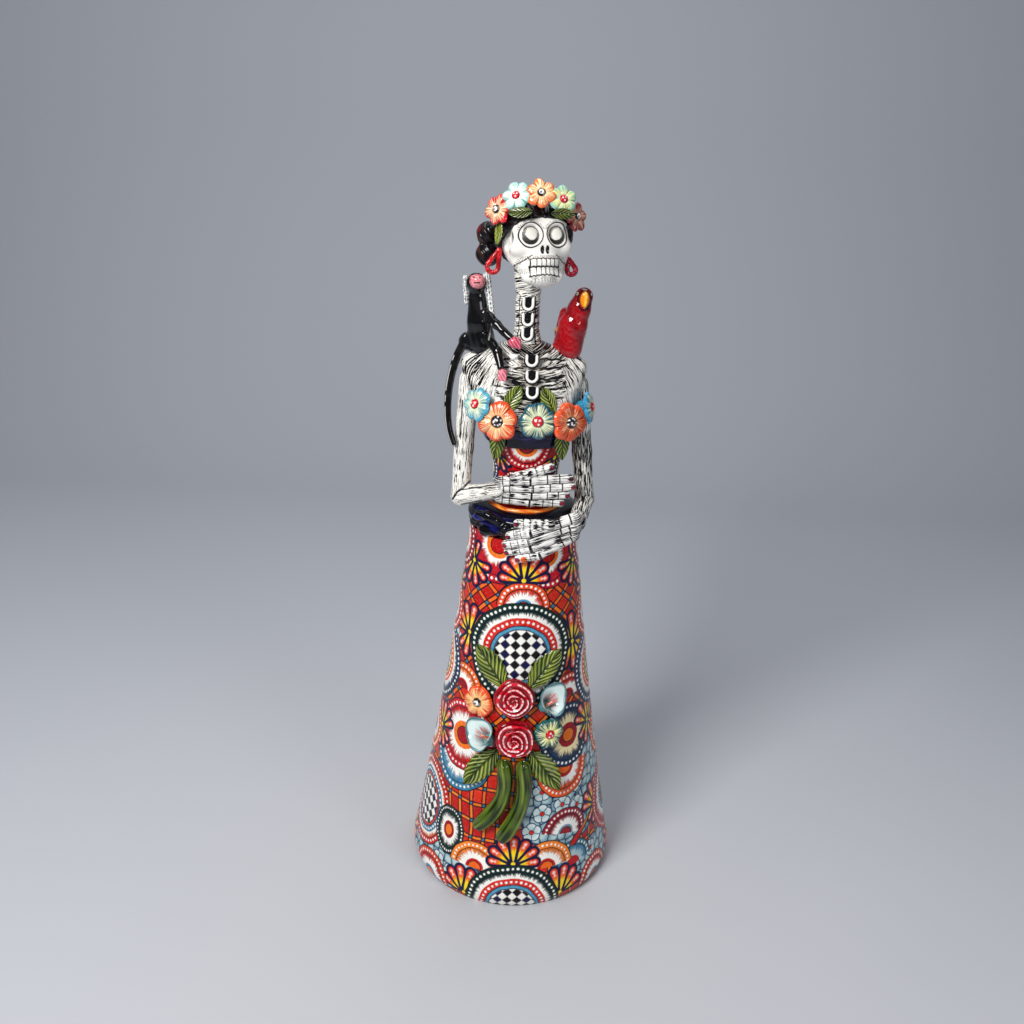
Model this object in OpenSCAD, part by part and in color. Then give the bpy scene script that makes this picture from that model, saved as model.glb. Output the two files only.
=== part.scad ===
// Glazed hand-painted ceramic catrina figure, standing, with a lift-out head.
// Millimetres, +Z up, +X towards the figure's own left hand, front towards -Y.
// Origin: centre of the foot ring on the ground.

/* [Skirt] */
// Radius the cone of the skirt would have at the ground, before the hem rounds in
foot_r = 140; // [134:1:146]
// Height of the skirt, from the ground to the underside of the sash
skirt_h = 494; // [490:1:494]
// Thickness of the ceramic wall
wall = 8; // [6:0.5:9]
// Radius of the widest point of the waist sash
sash_r = 69; // [66:0.5:71]

/* [Head socket] */
// Radius of the spigot under the neck
spigot_r = 12; // [10:0.5:12.5]
// Radial clearance between the spigot and its socket
socket_gap = 0.4; // [0.3:0.1:0.8]
// Depth that the spigot goes into the torso
spigot_l = 50; // [35:1:55]
// Radius of the neck
neck_r = 14; // [13:0.5:15]

/* [Head] */
// Radius of the cranium
cranium_r = 38; // [36:0.5:39]
// Thickness of the hair over the cranium
hair_t = 5; // [3:0.5:6]
// Angle that the face looks upward
head_pitch = 20; // [15:1:24]
// Angle that the face turns to the figure's left
head_yaw = 15; // [10:1:20]

/* [Flowers] */
// Diameter of each flower of the crown
crown_flower_d = 30; // [26:1:31]
// Diameter of the large chest flowers
chest_flower_d = 46; // [40:1:47]
// Radius of each rose of the bouquet
rose_r = 25; // [22:1:26]

/* [Hidden] */
$fn = 48;

waist_top = 524;
band_z0 = 604;
band_z1 = 628;
torso_top = 722;
neck = [-6, -8];
head_c = [0, -5, 836];
hem_h = 22.9;
hem_in = 8.2;
Bone = "#e9e6dd";
Navy = "#16183c";
Leaf = "#4c6b1e";

// Radius of the skirt's outside at height z
function cone(z) = let (u = z / 495) foot_r * (1 - u) + 65.2 * u - 17.9 * u * (1 - u);
function skirt_r(z) = cone(z) - (z < hem_h ? hem_in * pow(1 - z / hem_h, 2) : 0);
// Slope of the skirt's side from the vertical, in degrees
function skirt_slope(z) = atan((cone(z - 5) - cone(z + 5)) / 10);

// Tapered round limb from p to q, with round ends
module limb(p, q, r1, r2) {
  d = q - p;
  translate(p) rotate([0, acos(d[2] / norm(d)), atan2(d[1], d[0])]) cylinder(h = norm(d), r1 = r1, r2 = r2);
}
module chain(pts, r0, r1, knob = 0.4) {
  n = len(pts);
  for (i = [0 : n - 2]) {
    a = r0 + (r1 - r0) * i / (n - 1);
    b = r0 + (r1 - r0) * (i + 1) / (n - 1);
    limb(pts[i], pts[i + 1], a, b);
    translate(pts[i + 1]) sphere(b + knob);
  }
  translate(pts[0]) sphere(r0 + knob);
}
// Straight finger bone from p to q, thick at the joints
module finger(p, q, r1, r2) {
  d = q - p;
  L = norm(d);
  m = (r1 + r2) / 2;
  translate(p) rotate([0, acos(d[2] / L), atan2(d[1], d[0])]) rotate_extrude() polygon([[0, -2], [r1 * 0.8, -2], [r1, 0.5],
    [r1, 3], [m * 0.9, L * 0.25], [m * 0.9, L * 0.38], [m * 1.06, L * 0.46], [m * 1.06, L * 0.52], [r2 * 0.9, L * 0.62],
    [r2 * 0.9, L * 0.8], [r2, L - 4], [r2 * 0.9, L - 1], [r2 * 0.5, L + 1], [0, L + 1.5]]);
}
// Local +Z along direction d
module facing(p, d) {
  translate(p) rotate([0, acos(d[2] / norm(d)), atan2(d[1], d[0])]) rotate([0, 0, 90]) children();
}
// Local frame on the skirt: +Z out of the surface, +Y up along it
module on_skirt(x, z, off = 0) {
  az = asin(x / (skirt_r(z) + off));
  rotate([0, 0, az]) translate([0, -skirt_r(z), z]) rotate([90 - skirt_slope(z), 0, 0]) translate([0, 0, off]) children();
}
// Lobed open flower, face towards +Z, with the stalk that fixes it below
module flower(d, lobes = 6, t = 6, back = 6) {
  linear_extrude(t) {
    circle(d * 0.32);
    for (i = [0 : lobes - 1]) rotate(i * 360 / lobes) translate([d * 0.285, 0]) circle(d * 0.215);
  }
  translate([0, 0, -back]) cylinder(h = back, r = d * 0.24);
}
module flower_eye(d, t = 6) translate([0, 0, t]) intersection() {
  translate([0, 0, -d * 0.05]) sphere(d * 0.15);
  cylinder(h = d, r = d);
}
// Pointed leaf, base at the origin, tip towards +Y
module leaf(l, w, t = 4) {
  R = (l * l / 4 + w * w / 4) / w;
  linear_extrude(t) translate([0, l / 2]) intersection() {
    translate([R - w / 2, 0]) circle(R);
    translate([-R + w / 2, 0]) circle(R);
  }
}

// ---------------- body ----------------
module skirt_shell() color("#b93a24") rotate_extrude($fn = 96) polygon(concat(
  [for (z = [0, 3, 7, 12, 17, hem_h, 60, 100, 140, 180, 220, 260, 300, 340, 380, 420, 460, skirt_h]) [skirt_r(z), z]],
  [[31.5, skirt_h], [31.5, skirt_h - wall]],
  [for (z = [skirt_h - wall, 460, 420, 380, 340, 300, 260, 220, 180, 140, 100, 60, hem_h, 12, 3, 0]) [skirt_r(z) - wall, z]]));

module waist_sash() color(Navy) rotate_extrude($fn = 96) polygon([[31.2, skirt_h], [61, skirt_h], [65.5, 497.5],
  [68.3, 502], [sash_r, 508], [68.3, 513], [65.6, 517.5], [61, 521], [54, 523.4], [48, waist_top], [31.2, waist_top]]);

module waist_trim() color("#e8742c") translate([0, 0, waist_top]) rotate_extrude($fn = 72)
  intersection() { translate([44.5, 0.6]) circle(3); translate([35, 0]) square([20, 8]); }

module bodice_form(d, e = 0) translate([0, -2, 0]) scale([1, 0.87, 1]) rotate_extrude($fn = 40) polygon([[0, 524 - e], [38 - d, 524 - e],
  [38.5 - d, 545], [40.5 - d, 573], [44 - d, 592], [47.5 - d, band_z0 + e], [0, band_z0 + e]]);
module bodice_shell() color("#c4202a") {
  difference() { bodice_form(0); bodice_form(wall, 1); }
  rotate_extrude() polygon([[24, skirt_h - wall], [31, skirt_h - wall], [31, waist_top + 2], [24, waist_top + 2]]);
}
module neckline_band() color(Navy) translate([-1, -6, 0]) scale([1, 0.84, 1]) rotate_extrude($fn = 40)
  polygon([[49.5 - wall, band_z0], [49.5, band_z0], [53.5, band_z0 + 8], [57, band_z1], [57 - wall, band_z1]]);

module torso_form(d) hull() {
  for (s = [-1, 1]) {
    translate([-3 + s * 27, -29, 647]) sphere(25 - d, $fn = 24);
    translate([-7.5 + s * 59, 2, 690]) sphere(15.5 - d, $fn = 24);
    translate([-4 + s * 30, 14, 660]) sphere(22 - d, $fn = 20);
  }
  translate([-1, -6, band_z1 - (d > 0 ? 0.1 : 0)]) scale([1, 0.84, 1]) cylinder(h = 1, r = 57 - d, $fn = 32);
  translate([neck[0], neck[1] + 2, torso_top - d - 2]) cylinder(h = 2, r = 21 - d * 0.5, $fn = 32);
}
module torso_clip() translate([-150, -150, band_z1]) cube([300, 300, 200]);
module torso_shell() color(Bone) difference() {
  union() {
    difference() { intersection() { torso_form(0); torso_clip(); } torso_form(wall); }
    translate([neck[0], neck[1], torso_top - spigot_l - 3]) cylinder(h = spigot_l + 3, r = spigot_r + 6);
  }
  translate([neck[0], neck[1], 640]) cylinder(h = 100, r = spigot_r + socket_gap);
}

// ---------------- arms and hands ----------------
module right_upper_arm() color(Bone) chain([[-71, 0, 672], [-76, -5, 590], [-78.5, -9, 528]], 12, 10.3);
module right_forearm() color(Bone) difference() {
  limb([-78.5, -9, 528], [-31, -44.8, 551.5], 9.7, 8.5);
  translate([-78.5, -9, 528]) sphere(10.7);
}
rh_k = [[6, -47.5, 566], [8, -48, 557], [8, -48, 548], [6, -47.5, 539.5]];
rh_w = [-30, -45.5, 552];
module right_hand() color(Bone) {
  for (k = rh_k) limb(rh_w + [0, 0, (k[2] - 552) * 0.45], k, 5.6, 4.9);
  translate(rh_w) sphere(8.9);
}
module right_fingers() color(Bone) {
  tips = [[54, -40, 571], [57, -40, 558], [49, -42, 545], [42, -43, 535]];
  for (i = [0 : 3]) finger(rh_k[i] + [0, -0.5, 0], tips[i] - [2, 0, 0], 4.15, 3.6);
  finger([-14, -49.5, 569.5], [31, -46.5, 583.5], 4.4, 3.7);
}
module left_upper_arm() color(Bone) chain([[57, 0, 672], [66.5, -4, 590], [73, -10, 529]], 12, 10.5);
module left_forearm() color(Bone) difference() {
  limb([73, -10, 529], [62.5, -60, 519], 10.1, 9.2);
  translate([73, -10, 529]) sphere(10.9);
}
lh_w = [60, -66, 517];
lh_k = [[8, -76, 512], [7, -76, 502], [9, -75.5, 492.5], [20, -75, 484]];
module left_hand() color(Bone) {
  for (k = lh_k) limb(lh_w + [0, 0, (k[2] - 499) * 0.3], k, 6.4, 5.1);
  translate(lh_w) sphere(9.2);
}
module left_fingers() color(Bone) {
  tips = [[-18, -73, 505], [-22, -72.5, 493.5], [-19, -71.5, 483.5], [-6, -73.5, 476]];
  for (i = [0 : 3]) finger(lh_k[i] + [0, -0.5, 0], tips[i] + [2, 0, 0], i == 3 ? 4 : 4.5, 3.7);
  finger([32, -76, 522], [-9, -75, 522], 4.2, 3.6);
}

// ---------------- bones of the spine ----------------
// U-shaped bone ring, opening upward, face towards +Z
module bone_ring(w = 15, h = 16, t = 3) linear_extrude(t) difference() {
  union() { circle(w / 2); translate([-w / 2, 0]) square([w, h - w / 2]); }
  union() { circle(w / 2 - 3); translate([3 - w / 2, 0]) square([w - 6, h]); }
}
chest_bones = [[1.5, -38.4, 707], [2.5, -44.6, 690], [3.5, -50.4, 673]];
module chest_vertebrae() color(Bone) for (p = chest_bones) facing(p, [0, -0.94, 0.34]) bone_ring(15, 14, 3.2);
neck_bones = [732, 749.5, 767];
module neck_vertebrae() color(Bone) for (z = neck_bones)
  translate([neck[0] + 1, neck[1] - neck_r - 0.2, z]) rotate([90, 0, 0]) bone_ring(14, 15, 2.6);

// ---------------- flowers on the chest ----------------
cf = [[[-58, -47, 656], [-0.62, -0.72, 0.3], 39, 7], [[-34, -57, 640], [-0.22, -0.95, 0.2], 47, 6],
  [[11, -61, 643], [0.05, -0.98, 0.2], 43, 7], [[47, -52, 641], [0.5, -0.84, 0.15], 46, 6], [[68, -27, 652], [0.95, -0.25, 0.2], 38, 6]];
module chest_flower(i) facing(cf[i][0], cf[i][1]) flower(min(cf[i][2], chest_flower_d + 1), cf[i][3], 7, i == 1 || i == 2 ? 8 : 11);
module chest_flower_1() color("#8fc7d6") chest_flower(0);
module chest_flower_2() color("#f08a5c") chest_flower(1);
module chest_flower_3() color("#5fa9ad") chest_flower(2);
module chest_flower_4() color("#f08a5c") chest_flower(3);
module chest_flower_5() color("#8fc7d6") chest_flower(4);
module chest_flower_centres() color("#c9202f") for (f = cf) facing(f[0], f[1]) flower_eye(f[2], 7);
module chest_leaves() color(Leaf) {
  facing([-28, -57, 650], [-0.1, -0.95, 0.3]) rotate(0) translate([0, 0, -3]) rotate(-28) leaf(36, 18, 3);
  facing([31, -55, 650], [0.3, -0.92, 0.3]) translate([0, 0, -3]) rotate(24) leaf(34, 17, 3);
  facing([-33, -50, 634], [-0.4, -0.9, -0.1]) translate([0, 0, -3]) rotate(172) leaf(46, 20, 3);
  facing([41, -45, 634], [0.45, -0.88, -0.1]) translate([0, 0, -3]) rotate(184) leaf(44, 20, 3);
}

// ---------------- monkey on the right shoulder ----------------
module monkey_body() color("#0e0e10") chain([[-58, 3, 716], [-61, 0, 742], [-64, -2, 770]], 17, 9.5);
module monkey_head() color("#0e0e10") translate([-65, -3, 785]) sphere(11.5);
module monkey_face() color("#d98a94") difference() { translate([-63.5, -11, 788.5]) sphere(8.5); translate([-65, -3, 785]) sphere(11.5); }
module monkey_mane() color("#cfcfcd") {
  chain([[-52, -3, 792], [-48.5, -5, 776], [-45, -7, 756]], 3.4, 2.6);
  chain([[-78, 0, 790], [-77, 1, 776], [-76, 2, 762]], 3, 2.4);
}
module monkey_arms() color("#0e0e10") {
  chain([[-52, -8, 752], [-40, -22, 743], [-22, -36, 730]], 5.4, 4);
  chain([[-50, -16, 726], [-38, -36, 716], [-33, -46, 700]], 6, 4);
}
module monkey_paws() color("#b24a63") { translate([-18.5, -37.5, 727]) sphere(5.6); translate([-31, -49, 693]) sphere(6.6); }
module monkey_tail() color("#0e0e10") chain([[-80, 2, 712], [-89, -2, 690], [-94, -6, 666], [-95.5, -10, 642], [-93.5, -14, 618], [-87, -19, 598]], 4.8, 3.8);

// ---------------- parrot on the left shoulder ----------------
module parrot_body() color("#b8121f") { chain([[42, 1, 715], [47, 0, 741]], 17.5, 16); chain([[47.5, -0.5, 742], [53, -2, 760], [57.5, -4, 775]], 15, 10.3); }
module parrot_wings() color("#b8121f") { chain([[36, 5, 752], [29, 8, 730], [27, 14, 708]], 8, 5); chain([[60, 5, 752], [59, 9, 730], [57, 15, 708]], 8, 5); }
module parrot_beak() color("#f08a1e") chain([[58, -13, 777], [58, -15, 767]], 6.4, 4.6);

// ---------------- bouquet on the skirt ----------------
module rose(r) rotate_extrude() polygon([[0, -1], [r * 0.62, -1], [r * 0.86, 4], [r, 9], [r * 0.97, 14], [r * 0.8, 18], [r * 0.52, 21], [0, 22]]);
module rose_upper() color("#b3202e") on_skirt(-2, 296) rose(rose_r);
module rose_lower() color("#b3202e") on_skirt(0, 242) rose(rose_r);
module skirt_coral_flower() color("#f08a5c") on_skirt(-46, 283, 4) flower(42, 6, 7, 5);
module skirt_yellow_flower() color("#cfe0a0") on_skirt(42, 246, 4) flower(41, 6, 7, 5);
module skirt_flower_centres() color("#c9202f") { on_skirt(-46, 283, 4) flower_eye(42, 7); on_skirt(42, 246, 4) flower_eye(41, 7); }
module calla() difference() {
  rotate_extrude() polygon([[0, 0], [7, 0], [9, 8], [13, 16], [19, 21], [17, 22.5], [11, 18], [6.5, 10], [4.5, 3], [0, 3]]);
}
module calla_at(x, z, a) on_skirt(x, z, 9) rotate([-38, 0, 0]) rotate([0, a, 0]) translate([0, 0, -7]) children();
module calla_left() color("#9fd0d0") calla_at(-34, 240, -30) calla();
module calla_right() color("#9fd0d0") calla_at(38, 287, 26) calla();
module calla_spadices() color("#e8c9b0") { calla_at(-34, 240, -30) translate([0, 0, 3]) cylinder(h = 14, r = 2.6); calla_at(38, 287, 26) translate([0, 0, 3]) cylinder(h = 14, r = 2.6); }
module bouquet_leaves() color(Leaf) {
  on_skirt(-14, 306, 0.3) rotate(34) leaf(66, 30, 4.5);
  on_skirt(14, 306, 0.3) rotate(-36) leaf(66, 30, 4.5);
  on_skirt(-20, 224, 0.3) rotate(143) leaf(66, 31, 4.5);
  on_skirt(20, 224, 0.3) rotate(-145) leaf(66, 31, 4.5);
}
module bouquet_stems() color(Leaf) for (s = [[-11, 205, -38, 116], [14, 205, -8, 106]]) {
  r1 = skirt_r(s[1]) + 7; r2 = skirt_r(s[3]) + 7;
  a = asin(s[0] / r1); b = asin(s[2] / r2);
  limb([r1 * sin(a), -r1 * cos(a), s[1]], [r2 * sin(b), -r2 * cos(b), s[3]], 7, 8.5);
}

// ---------------- neck and head ----------------
module neck_spigot() color("#b9784f") translate([neck[0], neck[1], torso_top + 0.3 - spigot_l]) difference() {
  cylinder(h = spigot_l, r = spigot_r);
  translate([0, 0, -1]) cylinder(h = spigot_l + 2, r = 6);
}
module in_head() translate(head_c) rotate([-head_pitch, 0, head_yaw]) children();
module skull_form() {
  sphere(cranium_r);
  hull() for (s = [-1, 1]) {
    translate([s * 22, -20, 2]) sphere(15, $fn = 24);
    translate([s * 26, -18, -15]) sphere(10, $fn = 24);
    translate([s * 14, -30, -38]) sphere(9, $fn = 24);
    translate([s * 9, -26, -51]) sphere(7, $fn = 20);
    translate([s * 20, -6, -36]) sphere(8, $fn = 20);
  }
}
module neck_bore() translate([neck[0], neck[1], 700]) cylinder(h = 120, r = 6);
module skull() color(Bone) difference() {
  in_head() difference() {
    skull_form();
    sphere(cranium_r - wall);
    for (s = [-1, 1]) translate([s * 14.5, -40, -4]) sphere(9.5);
    translate([0, -42, -20]) rotate([0, 45, 0]) cube([7, 14, 7], center = true);
  }
  neck_bore();
}
module neck_column() color(Bone) difference() {
  translate([neck[0], neck[1], 0]) rotate_extrude() polygon([[6, torso_top + 0.3], [neck_r + 4, torso_top + 0.3], [neck_r + 2, 728],
    [neck_r, 738], [neck_r, 778], [neck_r + 2, 790], [neck_r + 4, 812], [6, 812]]);
  in_head() skull_form();
}
module hair_cap() color("#101012") in_head() difference() {
  translate([0, 2, 1]) sphere(cranium_r + hair_t);
  skull_form();
  translate([0, -38, 17]) rotate([-28, 0, 0]) translate([-80, -60, -160]) cube([160, 160, 160]);
}
module hair_bun() color("#1a1212") { translate([-54, 27, 836]) sphere(14); translate([-54, 27, 814]) sphere(14.3); }
crown = [[[-42, -22, 868], [-0.55, -0.8, 0.25]], [[-22, -27, 883], [-0.3, -0.85, 0.45]], [[4, -30, 887], [0.05, -0.87, 0.5]],
  [[27, -26, 881], [0.35, -0.83, 0.42]], [[42, -16, 863], [0.7, -0.65, 0.3]]];
module crown_flower(i) facing(crown[i][0], crown[i][1]) flower(crown_flower_d, 6, 5, i == 4 ? 9 : 15);
module crown_flower_1() color("#e2564e") crown_flower(0);
module crown_flower_2() color("#dfeee0") crown_flower(1);
module crown_flower_3() color("#f08a5c") crown_flower(2);
module crown_flower_4() color("#bfe0cc") crown_flower(3);
module crown_flower_5() color("#a83a44") crown_flower(4);
module crown_flower_centres() color("#c9202f") for (f = crown) facing(f[0], f[1]) flower_eye(crown_flower_d, 5);
module crown_leaves() color(Leaf) {
  facing([-6, -43, 869], [-0.15, -0.85, 0.5]) rotate(96) leaf(24, 11, 3);
  facing([16, -41, 868], [0.25, -0.85, 0.5]) rotate(-90) leaf(24, 11, 3);
  facing([-39, -18, 857], [-0.75, -0.6, 0.2]) rotate(190) leaf(24, 12, 3);
}
module earring(a, b, r) difference() { hull() { translate(a) sphere(1.6, $fn = 16); translate(b) rotate([90, 0, 0]) rotate_extrude($fn = 24) translate([r, 0]) circle(1.9, $fn = 12); }
  translate(b + [0, 10, 0]) rotate([90, 0, 0]) cylinder(h = 20, r = r - 2); }
module right_earring() color("#d8262e") earring([-39, -14, 826], [-46.5, -15, 806], 6.5);
module left_earring() color("#b01a28") earring([37, -14, 818], [41, -17, 806], 5);

skirt_shell();
waist_sash();
waist_trim();
bodice_shell();
neckline_band();
torso_shell();
right_upper_arm();
right_forearm();
right_hand();
right_fingers();
left_upper_arm();
left_forearm();
left_hand();
left_fingers();
chest_vertebrae();
chest_flower_1();
chest_flower_2();
chest_flower_3();
chest_flower_4();
chest_flower_5();
chest_flower_centres();
chest_leaves();
monkey_body();
monkey_head();
monkey_face();
monkey_mane();
monkey_arms();
monkey_paws();
monkey_tail();
parrot_body();
parrot_wings();
parrot_beak();
rose_upper();
rose_lower();
skirt_coral_flower();
skirt_yellow_flower();
skirt_flower_centres();
calla_left();
calla_right();
calla_spadices();
bouquet_leaves();
bouquet_stems();
neck_spigot();
neck_column();
neck_vertebrae();
skull();
hair_cap();
hair_bun();
crown_flower_1();
crown_flower_2();
crown_flower_3();
crown_flower_4();
crown_flower_5();
crown_flower_centres();
crown_leaves();
right_earring();
left_earring();
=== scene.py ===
# Looks of the glazed ceramic catrina figure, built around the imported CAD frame. Metres, +Z up, front towards -Y.
import bpy
import math
import numpy as np
from mathutils import Matrix, Vector


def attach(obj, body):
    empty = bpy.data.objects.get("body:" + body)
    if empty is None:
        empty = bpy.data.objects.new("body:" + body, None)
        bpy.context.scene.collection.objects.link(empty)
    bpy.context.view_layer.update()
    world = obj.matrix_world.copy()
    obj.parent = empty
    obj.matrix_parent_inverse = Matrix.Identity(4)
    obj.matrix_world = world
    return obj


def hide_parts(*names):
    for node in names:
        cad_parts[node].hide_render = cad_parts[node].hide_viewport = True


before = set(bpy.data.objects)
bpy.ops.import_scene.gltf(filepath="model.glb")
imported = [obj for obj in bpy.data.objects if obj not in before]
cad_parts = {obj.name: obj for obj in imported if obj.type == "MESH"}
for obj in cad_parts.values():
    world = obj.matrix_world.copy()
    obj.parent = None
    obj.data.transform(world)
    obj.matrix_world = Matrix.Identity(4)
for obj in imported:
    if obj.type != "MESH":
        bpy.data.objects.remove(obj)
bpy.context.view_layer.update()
MM = 0.001
pi = math.pi
rng = np.random.default_rng(7)


def lin(r, g, b):
    """sRGB 0-255 to linear."""
    c = np.array([r, g, b], float) / 255
    return np.where(c <= 0.04045, c / 12.92, ((c + 0.055) / 1.055) ** 2.4)


WHITE = lin(246, 244, 238)
BONE = lin(246, 243, 235)
BLACK = lin(14, 13, 16)
NAVY = lin(20, 20, 58)
DGREEN = lin(8, 44, 38)
RED = lin(196, 20, 20)
CRIM = lin(146, 10, 28)
DRED = lin(120, 22, 34)
ORANGE = lin(236, 100, 20)
AMBER = lin(248, 158, 44)
YELLOW = lin(250, 214, 30)
CREAM = lin(250, 232, 180)
BLUE = lin(70, 140, 178)
TEAL = lin(40, 118, 138)
DBLUE = lin(26, 62, 96)
PALE = lin(178, 206, 210)
LINE = lin(18, 18, 30)


def ss(a, b, x):
    t = np.clip((x - a) / (b - a), 0, 1)
    return t * t * (3 - 2 * t)


def mixc(a, b, t):
    t = np.asarray(t)[..., None]
    return np.asarray(a) * (1 - t) + np.asarray(b) * t


def hash1(i, k=0.0):
    v = np.sin(np.asarray(i, float) * 127.1 + k * 311.7 + 3.1) * 43758.5453
    return v - np.floor(v)


# ------------------------------------------------------------------ materials
def nodes_of(mat):
    mat.use_nodes = True
    nt = mat.node_tree
    return nt, nt.nodes, nt.links


def glaze(name, base=None, attr="paint", hatch=False, rough=0.13, coat=0.55, vary=0.10, spec=0.35, bump=0.10, fine=900.0, soft=0.0):
    """Glossy fired glaze. Colour from the piece's paint attribute (or one colour), with pooled and thinned patches, fine brush
    streaks, tiny pinholes, orange-peel bump and uneven gloss. hatch adds black brush strokes along the flow attribute."""
    mat = bpy.data.materials.new(name)
    nt, N, L = nodes_of(mat)
    bsdf = N["Principled BSDF"]
    bsdf.inputs["Coat Weight"].default_value = coat
    bsdf.inputs["Coat Roughness"].default_value = 0.045
    bsdf.inputs["IOR"].default_value = 1.5
    bsdf.inputs["Specular IOR Level"].default_value = spec
    if soft:
        bsdf.inputs["Subsurface Weight"].default_value = soft
        bsdf.inputs["Subsurface Radius"].default_value = (0.004, 0.003, 0.002)
    geo = N.new("ShaderNodeTexCoord")
    co = geo.outputs["Object"]
    if base is None:
        a = N.new("ShaderNodeAttribute"); a.attribute_name = attr
        col = a.outputs["Color"]
    else:
        rgb = N.new("ShaderNodeRGB"); rgb.outputs[0].default_value = (*base, 1)
        col = rgb.outputs[0]

    def noise(scale, detail=3, rough_=0.55, src=None):
        n = N.new("ShaderNodeTexNoise"); n.inputs["Scale"].default_value = scale
        n.inputs["Detail"].default_value = detail; n.inputs["Roughness"].default_value = rough_
        L.new(src or co, n.inputs["Vector"])
        return n.outputs["Fac"]

    def ramp(fac, lo, hi, a_=0.0, b_=1.0):
        m = N.new("ShaderNodeMapRange"); m.inputs["From Min"].default_value = lo; m.inputs["From Max"].default_value = hi
        m.inputs["To Min"].default_value = a_; m.inputs["To Max"].default_value = b_
        L.new(fac, m.inputs["Value"])
        return m.outputs["Result"]

    big = noise(55, 3)
    fin = noise(420, 4)
    hsv = N.new("ShaderNodeHueSaturation")
    L.new(col, hsv.inputs["Color"])
    L.new(ramp(big, 0.3, 0.7, 1 - vary, 1 + vary * 0.6), hsv.inputs["Value"])
    L.new(ramp(fin, 0.3, 0.7, 0.94, 1.06), hsv.inputs["Saturation"])
    out = hsv.outputs["Color"]
    if hatch:
        fl = N.new("ShaderNodeAttribute"); fl.attribute_name = "flow"
        sep = N.new("ShaderNodeSeparateXYZ"); L.new(fl.outputs["Vector"], sep.inputs[0])
        comb = N.new("ShaderNodeCombineXYZ")
        m1 = N.new("ShaderNodeMath"); m1.operation = "MULTIPLY"; m1.inputs[1].default_value = 0.95; L.new(sep.outputs["X"], m1.inputs[0])
        m2 = N.new("ShaderNodeMath"); m2.operation = "MULTIPLY"; m2.inputs[1].default_value = 0.055; L.new(sep.outputs["Y"], m2.inputs[0])
        L.new(m1.outputs[0], comb.inputs[0]); L.new(m2.outputs[0], comb.inputs[1])
        st = N.new("ShaderNodeTexNoise"); st.inputs["Scale"].default_value = 1.0; st.inputs["Detail"].default_value = 2.5
        st.inputs["Roughness"].default_value = 0.6
        L.new(comb.outputs[0], st.inputs["Vector"])
        comb2 = N.new("ShaderNodeCombineXYZ")
        m3 = N.new("ShaderNodeMath"); m3.operation = "MULTIPLY"; m3.inputs[1].default_value = 0.05; L.new(sep.outputs["X"], m3.inputs[0])
        m4 = N.new("ShaderNodeMath"); m4.operation = "MULTIPLY"; m4.inputs[1].default_value = 0.028; L.new(sep.outputs["Y"], m4.inputs[0])
        L.new(m3.outputs[0], comb2.inputs[0]); L.new(m4.outputs[0], comb2.inputs[1])
        pa = N.new("ShaderNodeTexNoise"); pa.inputs["Scale"].default_value = 1.0; pa.inputs["Detail"].default_value = 1.0
        L.new(comb2.outputs[0], pa.inputs["Vector"])
        # threshold falls with density (Z) and with the slow patch noise
        th = N.new("ShaderNodeMath"); th.operation = "MULTIPLY_ADD"; th.inputs[1].default_value = -0.34; th.inputs[2].default_value = 0.905
        L.new(sep.outputs["Z"], th.inputs[0])
        th2 = N.new("ShaderNodeMath"); th2.operation = "MULTIPLY_ADD"; th2.inputs[1].default_value = -0.30
        L.new(pa.outputs["Fac"], th2.inputs[0]); L.new(th.outputs[0], th2.inputs[2])
        df = N.new("ShaderNodeMath"); df.operation = "SUBTRACT"; L.new(st.outputs["Fac"], df.inputs[0]); L.new(th2.outputs[0], df.inputs[1])
        ink = ramp(df.outputs[0], -0.012, 0.018)
        mx = N.new("ShaderNodeMix"); mx.data_type = "RGBA"
        L.new(ink, mx.inputs["Factor"]); L.new(out, mx.inputs["A"]); mx.inputs["B"].default_value = (*BLACK, 1)
        out = mx.outputs["Result"]
    # pinholes in the glaze
    vor = N.new("ShaderNodeTexVoronoi"); vor.inputs["Scale"].default_value = 260; L.new(co, vor.inputs["Vector"])
    pin = ramp(vor.outputs["Distance"], 0.05, 0.02)
    pm = N.new("ShaderNodeMath"); pm.operation = "MULTIPLY"; pm.inputs[1].default_value = 0.35; L.new(pin, pm.inputs[0])
    mp = N.new("ShaderNodeMix"); mp.data_type = "RGBA"; L.new(pm.outputs[0], mp.inputs["Factor"]); L.new(out, mp.inputs["A"])
    mp.inputs["B"].default_value = (*(lin(96, 70, 52)), 1)
    L.new(mp.outputs["Result"], bsdf.inputs["Base Color"])
    L.new(ramp(noise(140, 2), 0.3, 0.7, rough * 0.7, rough * 1.5), bsdf.inputs["Roughness"])
    bm = N.new("ShaderNodeBump"); bm.inputs["Strength"].default_value = bump; bm.inputs["Distance"].default_value = 0.0006
    L.new(noise(fine / 4, 2), bm.inputs["Height"])
    L.new(bm.outputs["Normal"], bsdf.inputs["Normal"])
    return mat


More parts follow.
